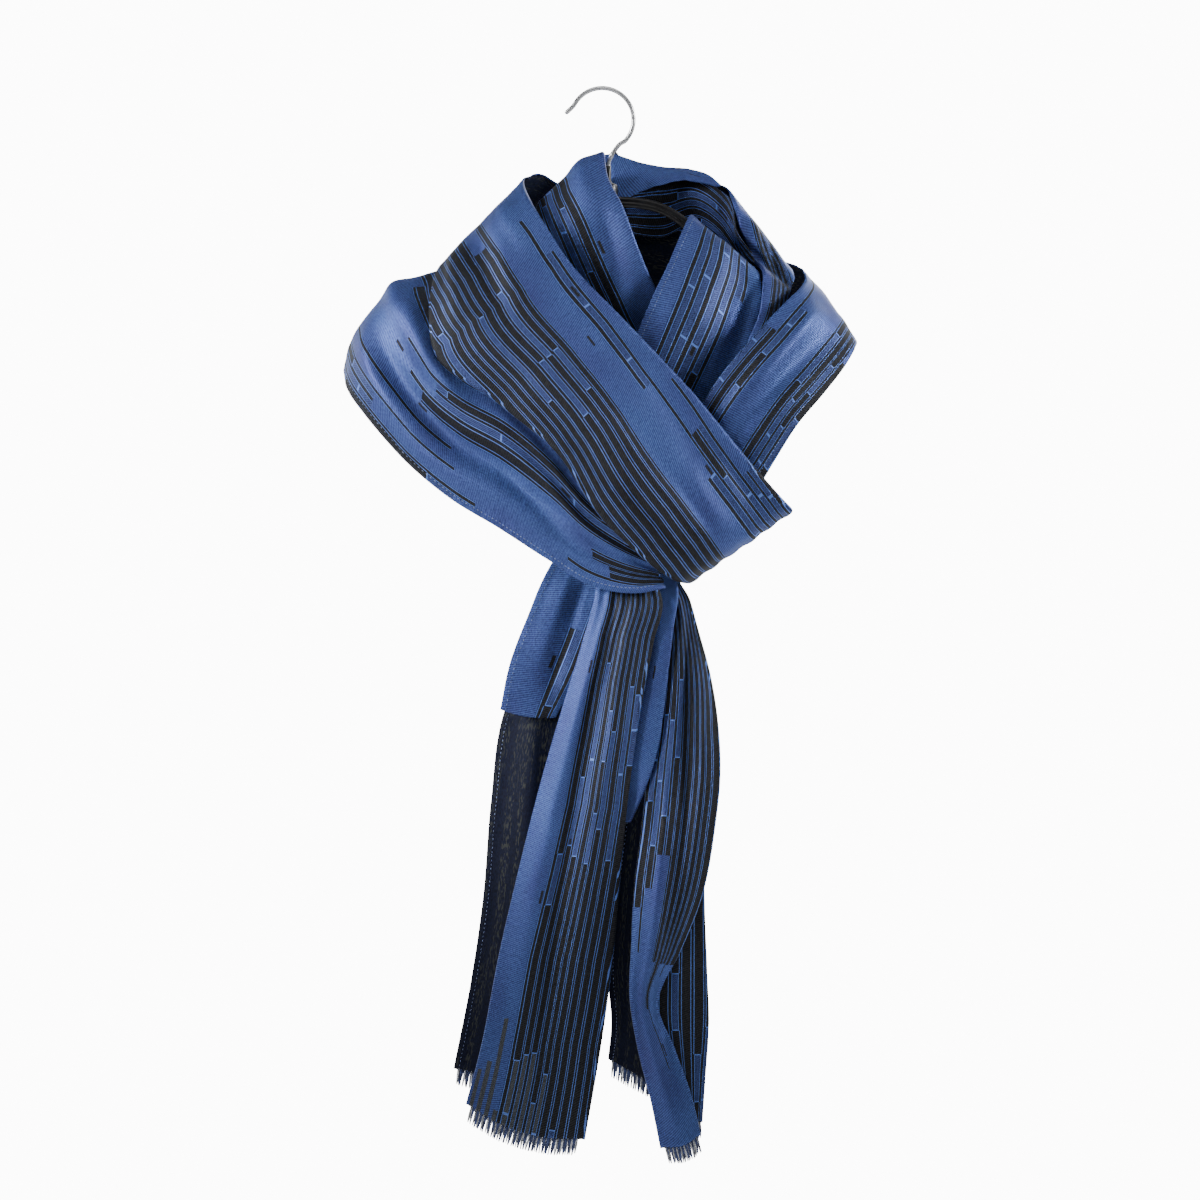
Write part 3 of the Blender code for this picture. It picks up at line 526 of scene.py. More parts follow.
# Edges along the rows: the radius that each is rolled with, and how far it tucks under.
# A stitched hem is a narrow roll.
Rim = namedtuple("Rim", "row radius_a tuck_a radius_b tuck_b")
UPPER_RIMS = (
    Rim(0, 2.3, 4.5, 1.9, 3),
    Rim(10.6, 2.3, 4.5, 1.9, 3),
    Rim(11.6, 0.4, 0.8, 0.4, 0.8),
    Rim(17.5, 0.4, 0.8, 0.4, 0.8),
    Rim(18.3, 1.3, 2, 0.4, 0.8),
    Rim(26, 1.3, 2, 0.4, 0.8),
)
LOWER_RIMS = (
    Rim(0, 0.4, 0.8, 0.4, 0.8),
    Rim(17.4, 0.4, 0.8, 0.4, 0.8),
    Rim(18.3, 1.8, 3, 1.6, 3),
    Rim(39, 1.8, 3, 1.6, 3),
)
INNER_RIMS = (
    Rim(0, 0.4, 0.8, 0.4, 0.8),
    Rim(4.6, 0.4, 0.8, 0.4, 0.8),
    Rim(5.4, 1.7, 4, 0.4, 0.8),
    Rim(10.6, 1.7, 4, 0.4, 0.8),
    Rim(11.5, 0.4, 0.8, 0.4, 0.8),
    Rim(26, 0.4, 0.8, 0.4, 0.8),
)
COLLAR_RIMS = (
    Rim(0, 0.4, 0.8, 1.2, 1.5),
    Rim(2, 0.4, 0.8, 2.8, 3),
    Rim(5.3, 0.4, 0.8, 2.8, 3),
    Rim(6.2, 0.4, 0.8, 1.3, 1.5),
    Rim(7, 0.4, 0.8, 0.8, 1),
)
LEFT_FRONT_RIMS = (Rim(0, 1.3, 3, 2.2, 4), Rim(8, 1.3, 3, 2.2, 4))
LEFT_MID_RIMS = (Rim(0, 0.4, 0.8, 1.4, 3), Rim(7, 0.4, 0.8, 1.4, 3))
HEM_RIMS = (Rim(0, 0.4, 0.8, 0.4, 0.8), Rim(8, 0.4, 0.8, 0.4, 0.8))

# The right tail's back layer, with its left edge a little further left between the tails
RIGHT_BACK_SHOWN = tuple(row._replace(ax=row.ax - 3.2) if -560 < row.az < -390 else row
                         for row in RIGHT_BACK)

# The left tail's back layer, whose corner in the knot is drawn back from the flap
LEFT_BACK_SHOWN = (LEFT_BACK[0]._replace(ay=-40.2), *LEFT_BACK[1:])

# The upper round, with its narrow fold's left edge drawn over the inner round's edge
UPPER_SHOWN = tuple(row._replace(ax=row.ax - 4.0) if 22 <= place <= 25 else row
                    for place, row in enumerate(UPPER))

# The striped layer by the collar, drawn up to the back's edge and on into the right shoulder
COLLAR_INNER_SHOWN = (
    COLLAR_INNER[0],
    Row(38, 35.2, -88, 38, 28, -55, 1),
    Row(58, 23.6, -81, 58, 28.5, -52, 1),
    Row(72, 17, -90, 73, 27, -59.5, 1),
    Row(83, 14, -104, 79.5, 20.5, -67, 1),
    Row(88, 7, -105, 83, 11, -86),
    Row(94, 2, -107, 93, 5, -101),
)
COLLAR_INNER_THREADS = (
    Threads(0, 0, 24), Threads(2, 0, 30), Threads(4, 0, 36), Threads(5, 12, 34), Threads(6, 24, 31),
)

# The folded collar, with a narrow end further left, behind the hook, and a tapered right end
COLLAR_SHOWN = (
    Row(-1, 30.5, -44.5, -1, 32, -37),
    Row(2.6, 29.5, -47.5, 2.8, 32, -36),
    *COLLAR_FOLD,
    Row(71, 23.6, -58, 74, 24.4, -56.5),
)

# Every sheet of cloth that shows: the nodes that it stands for, its table, folds, design,
# threads, creases and edges, the depth of the gathers at its knot end and how far they reach,
# whether its face or its reverse is outside, and how it is held.
Sheet = namedtuple("Sheet", "nodes rows folds patches threads creases rims gather fade face held")
SHEETS = {
    "scarf_upper_round": Sheet(
        ("front_band", "back_upper", "right_shoulder", "right_mid_fold"), UPPER_SHOWN,
        UPPER_FOLDS, UPPER_PATCHES, UPPER_THREADS, UPPER_CREASES, UPPER_RIMS,
        0.5, 70, True, "draped"),
    "scarf_lower_round": Sheet(
        ("lower_band", "back_lower", "right_outer", "tail_right_front"), LOWER,
        LOWER_FOLDS, LOWER_PATCHES, LOWER_THREADS, LOWER_CREASES, LOWER_RIMS,
        0.9, 60, True, "draped"),
    "scarf_inner_round": Sheet(
        ("knot_return", "inner_left", "back_inner", "right_inner"), INNER,
        INNER_FOLDS, INNER_PATCHES, INNER_THREADS, INNER_CREASES, INNER_RIMS,
        0.4, 60, True, "draped"),
    "scarf_collar_fold": Sheet(
        ("collar_fold",), COLLAR_SHOWN, (), PLAIN_PATCHES, NARROW_THREADS, SHORT_CREASES,
        COLLAR_RIMS, 0.0, 1, True, "folded"),
    "scarf_collar_inner": Sheet(
        ("collar_inner",), COLLAR_INNER_SHOWN, (), DENSE_PATCHES, COLLAR_INNER_THREADS,
        SHORT_CREASES, HEM_RIMS, 0.0, 1, True, "folded"),
    "scarf_tail_left": Sheet(
        ("tail_left_front",), LEFT_FRONT, LEFT_FRONT_FOLDS, LEFT_FRONT_PATCHES,
        LEFT_FRONT_THREADS, LEFT_FRONT_CREASES, LEFT_FRONT_RIMS, 1.0, 60, True, "hung"),
    "scarf_tail_left_flap": Sheet(
        ("tail_left_flap",), LEFT_FLAP, LEFT_FLAP_FOLDS, FLAP_PATCHES, NARROW_THREADS,
        FLAP_CREASES, HEM_RIMS, 0.3, 40, True, "hung"),
    "scarf_tail_left_mid": Sheet(
        ("tail_left_mid",), LEFT_MID, (), PLAIN_PATCHES, NARROW_THREADS, SHORT_CREASES,
        LEFT_MID_RIMS, 0.3, 50, True, "hung"),
    "scarf_tail_left_back": Sheet(
        ("tail_left_back",), LEFT_BACK_SHOWN, LEFT_BACK_FOLDS, DENSE_PATCHES, WIDE_THREADS,
        LONG_CREASES, HEM_RIMS, 0.2, 40, False, "hung"),
    "scarf_tail_right_side": Sheet(
        ("tail_right_side",), RIGHT_SIDE, (), DENSE_PATCHES, NARROW_THREADS, SHORT_CREASES,
        HEM_RIMS, 0.0, 1, True, "hung"),
    "scarf_tail_right_back": Sheet(
        ("tail_right_back",), RIGHT_BACK_SHOWN, RIGHT_BACK_FOLDS, DENSE_PATCHES, WIDE_THREADS,
        LONG_CREASES, HEM_RIMS, 0.8, 60, False, "hung"),
}

# Stitches along a sheet's edge a or b, from one row to another
Stitch = namedtuple("Stitch", "sheet at_b row0 row1")
SIDE_STITCHES = (
    Stitch("scarf_lower_round", True, 0.4, 27.0),
    Stitch("scarf_inner_round", False, 16.8, 25.8),
    Stitch("scarf_inner_round", True, 4.0, 17.0),
    Stitch("scarf_tail_left_flap", False, 0.2, 5.0),
    Stitch("scarf_tail_left_back", False, 0.5, 7.0),
    Stitch("scarf_tail_left_back", True, 0.5, 7.0),
    Stitch("scarf_tail_right_back", False, 0.5, 8.0),
    Stitch("scarf_tail_right_back", True, 0.5, 8.0),
)
STITCH_DEPTH = 3.0
STITCH_PITCH = 2.6
STITCH_LENGTH = 1.7

# Points of one stitch: along it as a share of its length, across it and up, and its faces
STITCH_POINTS = (
    (-0.5, 0.0, -0.05), (-0.2, 0.22, 0.0), (-0.2, -0.22, 0.0), (-0.15, 0.0, 0.2),
    (0.2, 0.22, 0.0), (0.2, -0.22, 0.0), (0.15, 0.0, 0.2), (0.5, 0.0, -0.05),
)
STITCH_FACES = ((0, 3, 1), (0, 2, 3), (1, 3, 6, 4), (2, 5, 6, 3), (4, 6, 7), (5, 7, 6),
                (0, 1, 4, 7), (0, 7, 5, 2))

# Fringe strips: the sheet above each, its number of strands and its seed
FRINGES = {
    "fringe_left_front": ("scarf_tail_left", 210, 3),
    "fringe_left_back": ("scarf_tail_left_back", 190, 5),
    "fringe_right_front": ("scarf_lower_round", 90, 7),
    "fringe_right_side": ("scarf_tail_right_side", 60, 11),
    "fringe_right_back": ("scarf_tail_right_back", 150, 13),
}

# Strands of yarn, and the small clumps of pale and dark ones that they gather in
CLUMP_SIZES = ((2, 5), (5, 8))
CLUMP_LEAN = 0.4
CLUMP_OUT = 0.6
CLUMP_PULL = 0.72
STRAND_LENGTH = 9.5
STRAND_ROOT = 0.8
STRAND_SWAY = 0.5
STRAND_RADII = (0.36, 0.50)
STRAND_TAPER = 0.45
STRAND_RINGS = 6
STRAND_SIDES = 4

# The weave: one charcoal line and one bar make a unit across the threads, in millimetres
PITCH = 5.6
LINE_HALF = 0.94
LINE_HALF_COAL = 0.48
RIM_WIDTH = 0.34
HAIR_WIDTH = 0.40
CAP = 0.7

# How the lines wander: turns for each millimetre and amount
WAVES = ((0.145, 0.9), (0.41, 0.26))

# Least length of lines and bars, and how much longer they can be
LINE_LENGTHS = (55.0, 110.0)
BAR_LENGTHS = (22.0, 50.0)
LENGTH_SHIFT = 400.0
DASH_LENGTH = 8.0
DASH_CHANCE = 0.005
DASH_EDGE = 2.0

# How likely each part of the design is away from all patches, and how that changes slowly
LINES_START = -0.10
COAL_START = 0.48
GREY_START = -0.4
FIELD_ACROSS = 0.035
FIELD_ALONG = 0.010
FIELD_DEPTH = 1.6

# Threads, twill and hatching, in turns for each millimetre
THREAD_NOISE = (14.0, 5.0, 1.0)
RIB_ALONG = 4.6
RIB_ACROSS = 1.9
DOTS_ACROSS = 5.6

# Colours
Tone = namedtuple("Tone", "dark light")
SATIN = Tone((0.018, 0.026, 0.115), (0.098, 0.178, 0.480))
SHADE = Tone((0.018, 0.020, 0.095), (0.070, 0.100, 0.318))
HATCHED = Tone((0.007, 0.010, 0.038), (0.066, 0.098, 0.280))
COAL = Tone((0.0050, 0.0055, 0.0080), (0.030, 0.031, 0.036))
GREY = Tone((0.008, 0.010, 0.016), (0.100, 0.108, 0.120))
BRIGHT = (0.115, 0.212, 0.590)
NAVY = Tone((0.0022, 0.0032, 0.0110), (0.006, 0.009, 0.032))
FLECK = (0.034, 0.038, 0.038)
YARN_PALE = Tone((0.50, 0.55, 0.66), (0.92, 0.94, 0.97))
YARN_NAVY = Tone((0.012, 0.020, 0.070), (0.055, 0.090, 0.260))
THREAD_BLUE = Tone((0.07, 0.11, 0.26), (0.16, 0.22, 0.44))
CHROME = Tone((0.74, 0.75, 0.77), (0.88, 0.88, 0.89))
PLASTIC = Tone((0.004, 0.004, 0.005), (0.012, 0.012, 0.014))
FLOOR = Tone((0.84, 0.84, 0.84), (0.90, 0.90, 0.90))

# Camera in metres, and the floor in millimetres
SENSOR_WIDTH = 36.0
VIEW_WIDTH = 0.744
VIEW_DISTANCE = 3.0
VIEW_X = -0.0019
VIEW_Z = -0.316
FLOOR_Z = -850
FLOOR_HALF = 1200

Lamp = namedtuple("Lamp", "name x y z aim_x aim_z size spread energy")
LAMPS = (
    Lamp("key", -1.30, -0.50, 0.40, -0.10, -0.14, 0.5, 30, 1.46),
    Lamp("fill", 1.50, -0.20, 0.30, 0.13, -0.13, 0.5, 26, 1.30),
    Lamp("low", -0.80, -0.90, 0.00, -0.06, -0.33, 0.3, 11, 0.22),
    Lamp("top", 0.0, -0.9, 1.1, 0.0, -0.14, 0.8, 60, 0.60),
    Lamp("back", 0.9, 1.8, 0.6, 0.0, -0.30, 1.2, 180, 34),
    Lamp("back_fill", -1.6, 1.6, -0.2, 0.0, -0.40, 1.6, 180, 26),
)



def smooth(knots, values, at):
    """Values at the places `at` on a cubic curve through the rows of `values`."""
    slopes = np.gradient(values, knots, axis=0)
    right = np.clip(np.searchsorted(knots, at), 1, len(knots) - 1)
    left = right - 1
    span = (knots[right] - knots[left])[:, None]
    f = (at[:, None] - knots[left][:, None]) / span
    near = values[left] * (1 + 2 * f) * (1 - f) ** 2 + slopes[left] * span * f * (1 - f) ** 2
    far = values[right] * f ** 2 * (3 - 2 * f) - slopes[right] * span * f ** 2 * (1 - f)
    return near + far


def ramp(value):
    """Smooth step from 0 to 1."""
    clipped = np.clip(value, 0.0, 1.0)
    return clipped * clipped * (3 - 2 * clipped)


def unit(vectors):
    """The vectors, each made 1 long."""
    return vectors / np.linalg.norm(vectors, axis=-1, keepdims=True)


def distances(points):
    """How far each point is along the line through them."""
    steps = np.linalg.norm(np.diff(points, axis=0), axis=1)
    return np.concatenate(([0.0], np.cumsum(steps)))


def read_off(at, knots, values):
    """The row of `values` at one place between the knots."""
    return np.array([np.interp(at, knots, column) for column in values.T])


def rough(x, y, size_x, size_y, seed):
    """Smooth noise from -1 to 1 over a grid of places in millimetres."""
    across = (x - x.min()) / size_x
    along = (y - y.min()) / size_y
    left = across.astype(int)
    low = along.astype(int)
    values = np.random.default_rng(seed).uniform(-1, 1, (left.max() + 2, low.max() + 2))
    f = ramp(across - left)
    g = ramp(along - low)
    near = values[left, low] * (1 - f) + values[left + 1, low] * f
    far = values[left, low + 1] * (1 - f) + values[left + 1, low + 1] * f
    return near * (1 - g) + far * g


class Strip:
    """The fine grid of one sheet: its columns, rows, points and heights."""

    def __init__(self, name, sheet):
        self.name = name
        self.sheet = sheet
        self.seed = sum(ord(letter) for letter in name)
        self.table = np.array(sheet.rows, dtype=float)
        self.middle = (self.table[:, 0:3] + self.table[:, 3:6]) / 2
        self.knots = distances(self.middle)
        self.count = np.arange(len(self.knots))
        self.at = np.linspace(0.0, self.knots[-1], int(self.knots[-1] / ROW_STEP) + 2)
        self.place = np.interp(self.at, self.knots, self.count)
        widths = np.linalg.norm(self.table[:, 3:6] - self.table[:, 0:3], axis=1)
        self.columns = self.section(float(np.mean(widths)))
        rims = np.array(sheet.rims, dtype=float)
        self.rims = np.stack([np.interp(self.place, rims[:, 0], rims[:, k])
                              for k in range(1, 5)], axis=1)

    def section(self, width):
        """Columns of a section: the share, then what each edge's radius and tuck add to the
        offset from edge a, and how far under the top each radius puts the column."""
        turns = [math.pi * (1 - step / ROLL_STEPS) for step in range(ROLL_STEPS)]
        columns = [(0.0, 1.0, 1.0, 0.0, 0.0, 2.0, 0.0)]
        for turn in turns:
            columns.append((0.0, 1 - math.sin(turn), 0.0, 0.0, 0.0, 1 - math.cos(turn), 0.0))
        for share in np.linspace(0.0, 1.0, int(width / COLUMN_STEP) + 2):
            columns.append((share, 1 - share, 0.0, share, 0.0, 0.0, 0.0))
        for turn in reversed(turns):
            columns.append((1.0, 0.0, 0.0, 1 - math.sin(turn), 0.0, 0.0, 1 - math.cos(turn)))
        columns.append((1.0, 0.0, 0.0, 1.0, 1.0, 0.0, 2.0))
        return np.array(columns)

    def fold_height(self, fold, x, width):
        """One large fold over the grid."""
        run = (self.place[:, None] - fold.first) / (fold.last - fold.first)
        centre = fold.share_first + (fold.share_last - fold.share_first) * np.clip(run, 0, 1)
        fade = ramp(run / FOLD_FADE) * ramp((1 - run) / FOLD_FADE)
        distance = x - centre * width[:, None]
        return fold.height * fade * np.exp(-(distance / fold.width) ** 2)

    def crease_height(self, crease, x, y, width):
        """One small crease over the grid, steeper on one side."""
        y0, y1 = np.interp((crease.row0, crease.row1), self.count, self.knots)
        x0 = crease.share0 * np.interp(y0, self.at, width)
        x1 = crease.share1 * np.interp(y1, self.at, width)
        length = math.hypot(x1 - x0, y1 - y0)
        to_x = (x1 - x0) / length
        to_y = (y1 - y0) / length
        run = ((x - x0) * to_x + (y - y0) * to_y) / length
        side = (x - x0) * to_y - (y - y0) * to_x
        side = side - crease.bend * 4 * np.clip(run, 0, 1) * (1 - np.clip(run, 0, 1))
        fade = ramp(run / CREASE_IN) * ramp((1 - run) / CREASE_OUT)
        lean = np.where(side > 0, crease.width, crease.width * CREASE_LEAN)
        return crease.height * fade * np.exp(-(side / lean) ** 2)

    def heights(self, share, width):
        """Folds, creases, gathers, hems and small unevenness over the grid."""
        x = share[None, :] * width[:, None]
        y = np.broadcast_to(self.at[:, None], x.shape)
        total = np.zeros(x.shape)
        for fold in self.sheet.folds:
            total += self.fold_height(fold, x, width)
        for crease in self.sheet.creases:
            total += self.crease_height(crease, x, y, width)
        gather = self.sheet.gather * np.exp(-y / self.sheet.fade)
        total += gather * np.sin(share[None, :] * 2 * math.pi * GATHERS + GATHER_START)
        for height, size_x, size_y, salt in UNEVEN:
            total += height * rough(x, y, size_x, size_y, self.seed + salt)
        pucker = PUCKER * rough(y, y * 0, PUCKER_LENGTH, 1, self.seed + PUCKER_SALT)
        for radius, depth in ((self.rims[:, 0:1], x), (self.rims[:, 2:3], width[:, None] - x)):
            turned = ramp((HEM_WIDTH + HEM_STEP / 2 - depth) / HEM_STEP)
            hem = HEM_HEIGHT * turned + pucker * np.exp(-depth / PUCKER_REACH)
            total += (radius < HEM_RADIUS) * hem
        return total

    def grid(self):
        """Points of the outer side, its normals, and which way is out by row."""
        rows = smooth(self.knots, self.table, self.at)
        ahead = smooth(self.knots, self.middle, self.at + SLOPE_STEP)
        ahead = unit(ahead - smooth(self.knots, self.middle, self.at - SLOPE_STEP))
        edge_a = rows[:, 0:3]
        over = rows[:, 3:6] - edge_a
        width = np.linalg.norm(over, axis=1)
        over /= width[:, None]
        out = unit(np.cross(ahead, over))
        ahead = np.cross(over, out)
        share, a_radius, a_tuck, b_radius, b_tuck, a_under, b_under = self.columns.T
        bulge = 4 * share * (1 - share)
        radius_a, tuck_a, radius_b, tuck_b = (self.rims[:, k:k + 1] for k in range(4))
        offset = (share * width[:, None] + a_radius * radius_a + a_tuck * tuck_a
                  - b_radius * radius_b - b_tuck * tuck_b)
        under = a_under * radius_a + b_under * radius_b
        height = rows[:, 6:7] * bulge + self.heights(share, width) - under
        self.points = (edge_a[:, None, :]
                       + over[:, None, :] * offset[:, :, None]
                       + out[:, None, :] * height[:, :, None]
                       + ahead[:, None, :] * (rows[:, 7:8] * bulge)[:, :, None])
        normal = np.cross(np.gradient(self.points, axis=0), np.gradient(self.points, axis=1))
        normal /= np.maximum(np.linalg.norm(normal, axis=2), 1e-9)[:, :, None]
        self.normal = normal
        self.out = out
        self.widths = width

    def thread_places(self):
        """The cloth's own place of each point, in millimetres across and along the threads."""
        table = np.array(self.sheet.threads, dtype=float)
        first, last = (np.interp(self.place, table[:, 0], table[:, k])[:, None] for k in (1, 2))
        share = self.columns[:, 0]
        roll = (self.columns[:, 6] - self.columns[:, 5]) * ROLL_THREADS
        across = first + (last - first) * share[None, :] + roll[None, :]
        along = np.broadcast_to(self.at[:, None], across.shape)
        return np.stack((across, along), axis=-1)

    def cut_width(self):
        """Mean width of the flat cloth, rolls and folds opened out."""
        steps = np.linalg.norm(np.diff(self.points, axis=1), axis=2)
        return float(steps.sum(axis=1).mean())


def add_mesh(name, vertices, faces, materials, face_material=None, uvs=None):
    """Smooth mesh object from millimetres."""
    mesh = bpy.data.meshes.new(name)
    mesh.from_pydata((np.asarray(vertices) * MM).tolist(), [], faces)
    for one in materials:
        mesh.materials.append(one)
    if face_material is not None:
        mesh.polygons.foreach_set("material_index", np.asarray(face_material, dtype=np.int32))
    if uvs is not None:
        layer = mesh.uv_layers.new(name="cloth")
        corner = np.zeros(len(mesh.loops), dtype=np.int32)
        mesh.loops.foreach_get("vertex_index", corner)
        layer.uv.foreach_set("vector", np.asarray(uvs, dtype=np.float32)[corner].ravel())
    mesh.shade_smooth()
    mesh.update()
    made = bpy.data.objects.new(name, mesh)
    bpy.context.scene.collection.objects.link(made)
    return made


def claim(piece, slot, nodes):
    """Rides the piece on the root body and hides the parts of the nodes it stands for; slot is not
    used.
    """
    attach(piece, "root")
    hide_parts(*nodes)
    return piece


def finish_piece(piece, slot, nodes):
    """Outward faces, and the piece claimed."""
    bm = bmesh.new()
    bm.from_mesh(piece.data)
    bmesh.ops.recalc_face_normals(bm, faces=bm.faces)
    bm.to_mesh(piece.data)
    bm.free()
    return claim(piece, slot, nodes)


def build_sheet(strip, materials):
    """The sheet's shell: outer side, inner side and rim, with the weave on its faces."""
    strip.grid()
    wall = np.full(strip.points.shape[:2], CLOTH_WALL)
    wall[:, :ROLL_STEPS + 1] = np.minimum(CLOTH_WALL, ROLL_WALL * strip.rims[:, 0:1])
    wall[:, -ROLL_STEPS - 1:] = np.minimum(CLOTH_WALL, ROLL_WALL * strip.rims[:, 2:3])
    inner = strip.points - strip.normal * wall[:, :, None]
    vertices = np.concatenate((strip.points.reshape(-1, 3), inner.reshape(-1, 3)))
    first = np.arange(wall.size).reshape(wall.shape)
    second = first + wall.size

    def quads(a, b, c, d):
        return np.stack((a, b, c, d), axis=-1).reshape(-1, 4)

    outside = quads(first[:-1, :-1], first[1:, :-1], first[1:, 1:], first[:-1, 1:])
    inside = quads(second[:-1, :-1], second[:-1, 1:], second[1:, 1:], second[1:, :-1])
    rim = np.concatenate((
        quads(first[:-1, 0], second[:-1, 0], second[1:, 0], first[1:, 0]),
        quads(first[:-1, -1], first[1:, -1], second[1:, -1], second[:-1, -1]),
        quads(first[0, :-1], first[0, 1:], second[0, 1:], second[0, :-1]),
        quads(first[-1, :-1], second[-1, :-1], second[-1, 1:], first[-1, 1:]),
    ))
    face_material = np.repeat((0, 1, 0), (len(outside), len(inside), len(rim)))
    faces = np.concatenate((outside, inside, rim)).tolist()
    uv = strip.thread_places().reshape(-1, 2) / UV_MM
    piece = add_mesh(strip.name, vertices, faces, materials, face_material,
                     np.concatenate((uv, uv)))
    return claim(piece, strip.sheet.nodes[0], strip.sheet.nodes)


class Nodes:
    """Short ways to build one material's nodes. Values are numbers, colours or sockets."""

    def __init__(self, tree):
        self.tree = tree

    def put(self, node, values):
        """Set or link a node's inputs, by name or number."""
        for name, value in values.items():
            socket = node.inputs[name]
            if isinstance(value, bpy.types.NodeSocket):
                self.tree.links.new(value, socket)
            else:
                socket.default_value = (*value, 1.0) if socket.type == "RGBA" else value

    def new(self, kind, values, **settings):
        """A new node with its settings, and its inputs put."""
        node = self.tree.nodes.new(kind)
        for name, value in settings.items():
            setattr(node, name, value)
        self.put(node, values)
        return node

    def do(self, operation, *values):
        """The result of one step of arithmetic."""
        return self.new("ShaderNodeMath", dict(enumerate(values)), operation=operation).outputs[0]

    def pair(self, x, y):
        return self.new("ShaderNodeCombineXYZ", {"X": x, "Y": y}).outputs[0]

    def chance(self, x, y):
        """A random number from 0 to 1 that is the same wherever x and y are."""
        values = {"Vector": self.pair(x, y)}
        return self.new("ShaderNodeTexWhiteNoise", values, noise_dimensions="2D").outputs["Value"]

    def noise(self, vector, stretch=None, detail=3.0):
        """Noise texture on a vector, which can be stretched per axis."""
        if stretch:
            stretched = self.new("ShaderNodeMapping", {"Vector": vector, "Scale": stretch})
            vector = stretched.outputs["Vector"]
        values = {"Vector": vector, "Scale": 1.0, "Detail": detail}
        return self.new("ShaderNodeTexNoise", values).outputs["Fac"]

    def mix(self, factor, first, second):
        """Colour between two colours or sockets."""
        values = {0: factor, 6: first, 7: second}
        return self.new("ShaderNodeMix", values, data_type="RGBA").outputs[2]

    def ramp(self, value, low, high, start=0.0, end=1.0):
        """Value stretched so that low gives start and high gives end, held beyond both."""
        values = {"Value": value, "From Min": low, "From Max": high, "To Min": start, "To Max": end}
        return self.new("ShaderNodeMapRange", values).outputs["Result"]

    def bump(self, height, strength, distance):
        values = {"Height": height, "Strength": strength, "Distance": distance}
        return self.new("ShaderNodeBump", values).outputs["Normal"]

    def cloth_places(self):
        """The cloth's texture places, and the millimetres across and along in them."""
        uv = self.new("ShaderNodeUVMap", {}, uv_map="cloth").outputs["UV"]
        parts = self.new("ShaderNodeSeparateXYZ", {0: uv})
        u, v = (self.do("MULTIPLY", parts.outputs[k], UV_MM) for k in (0, 1))
        return uv, u, v

    def object_places(self):
        return self.new("ShaderNodeTexCoord", {}).outputs["Object"]


def new_material(name):
    """Material, its nodes and its shader."""
    made = bpy.data.materials.new(name)
    made.use_nodes = True
    return made, Nodes(made.node_tree), made.node_tree.nodes["Principled BSDF"]


def field(nodes, patches, part, start, u, v, seed):
    """How likely lines, charcoal bars or grey bars are round a place."""
    do = nodes.do
    slow = nodes.noise(nodes.pair(do("MULTIPLY", u, FIELD_ACROSS),
                                  do("MULTIPLY_ADD", v, FIELD_ALONG, seed)))
    total = do("MULTIPLY_ADD", slow, FIELD_DEPTH, start - FIELD_DEPTH / 2)
    for patch in patches:
        amount = getattr(patch, part)
        if amount:
            du = do("MULTIPLY_ADD", u, 1 / patch.reach_u, -patch.u / patch.reach_u)
            dv = do("MULTIPLY_ADD", v, 1 / patch.reach_v, -patch.row / patch.reach_v)
            far = do("MULTIPLY_ADD", du, du, do("MULTIPLY", dv, dv))
            near = do("MAXIMUM", do("SUBTRACT", 1.0, do("MULTIPLY", far, far)), 0.0)
            total = do("MULTIPLY_ADD", near, amount, total)
    return total


def lengths(nodes, v, index, seed, least, spread):
    """Number of the length that v is in, its middle, and how far its nearer end is."""
    do = nodes.do
    shift = do("MULTIPLY", nodes.chance(index, seed + 0.5), LENGTH_SHIFT)
    length = do("MULTIPLY_ADD", nodes.chance(index, seed + 1.5), spread, least)
    steps = do("DIVIDE", do("ADD", v, shift), length)
    step = do("FLOOR", steps)
    into = do("MULTIPLY", do("SUBTRACT", steps, step), length)
    middle = do("SUBTRACT", do("MULTIPLY", do("ADD", step, 0.5), length), shift)
    return step, middle, do("MINIMUM", into, do("SUBTRACT", length, into))


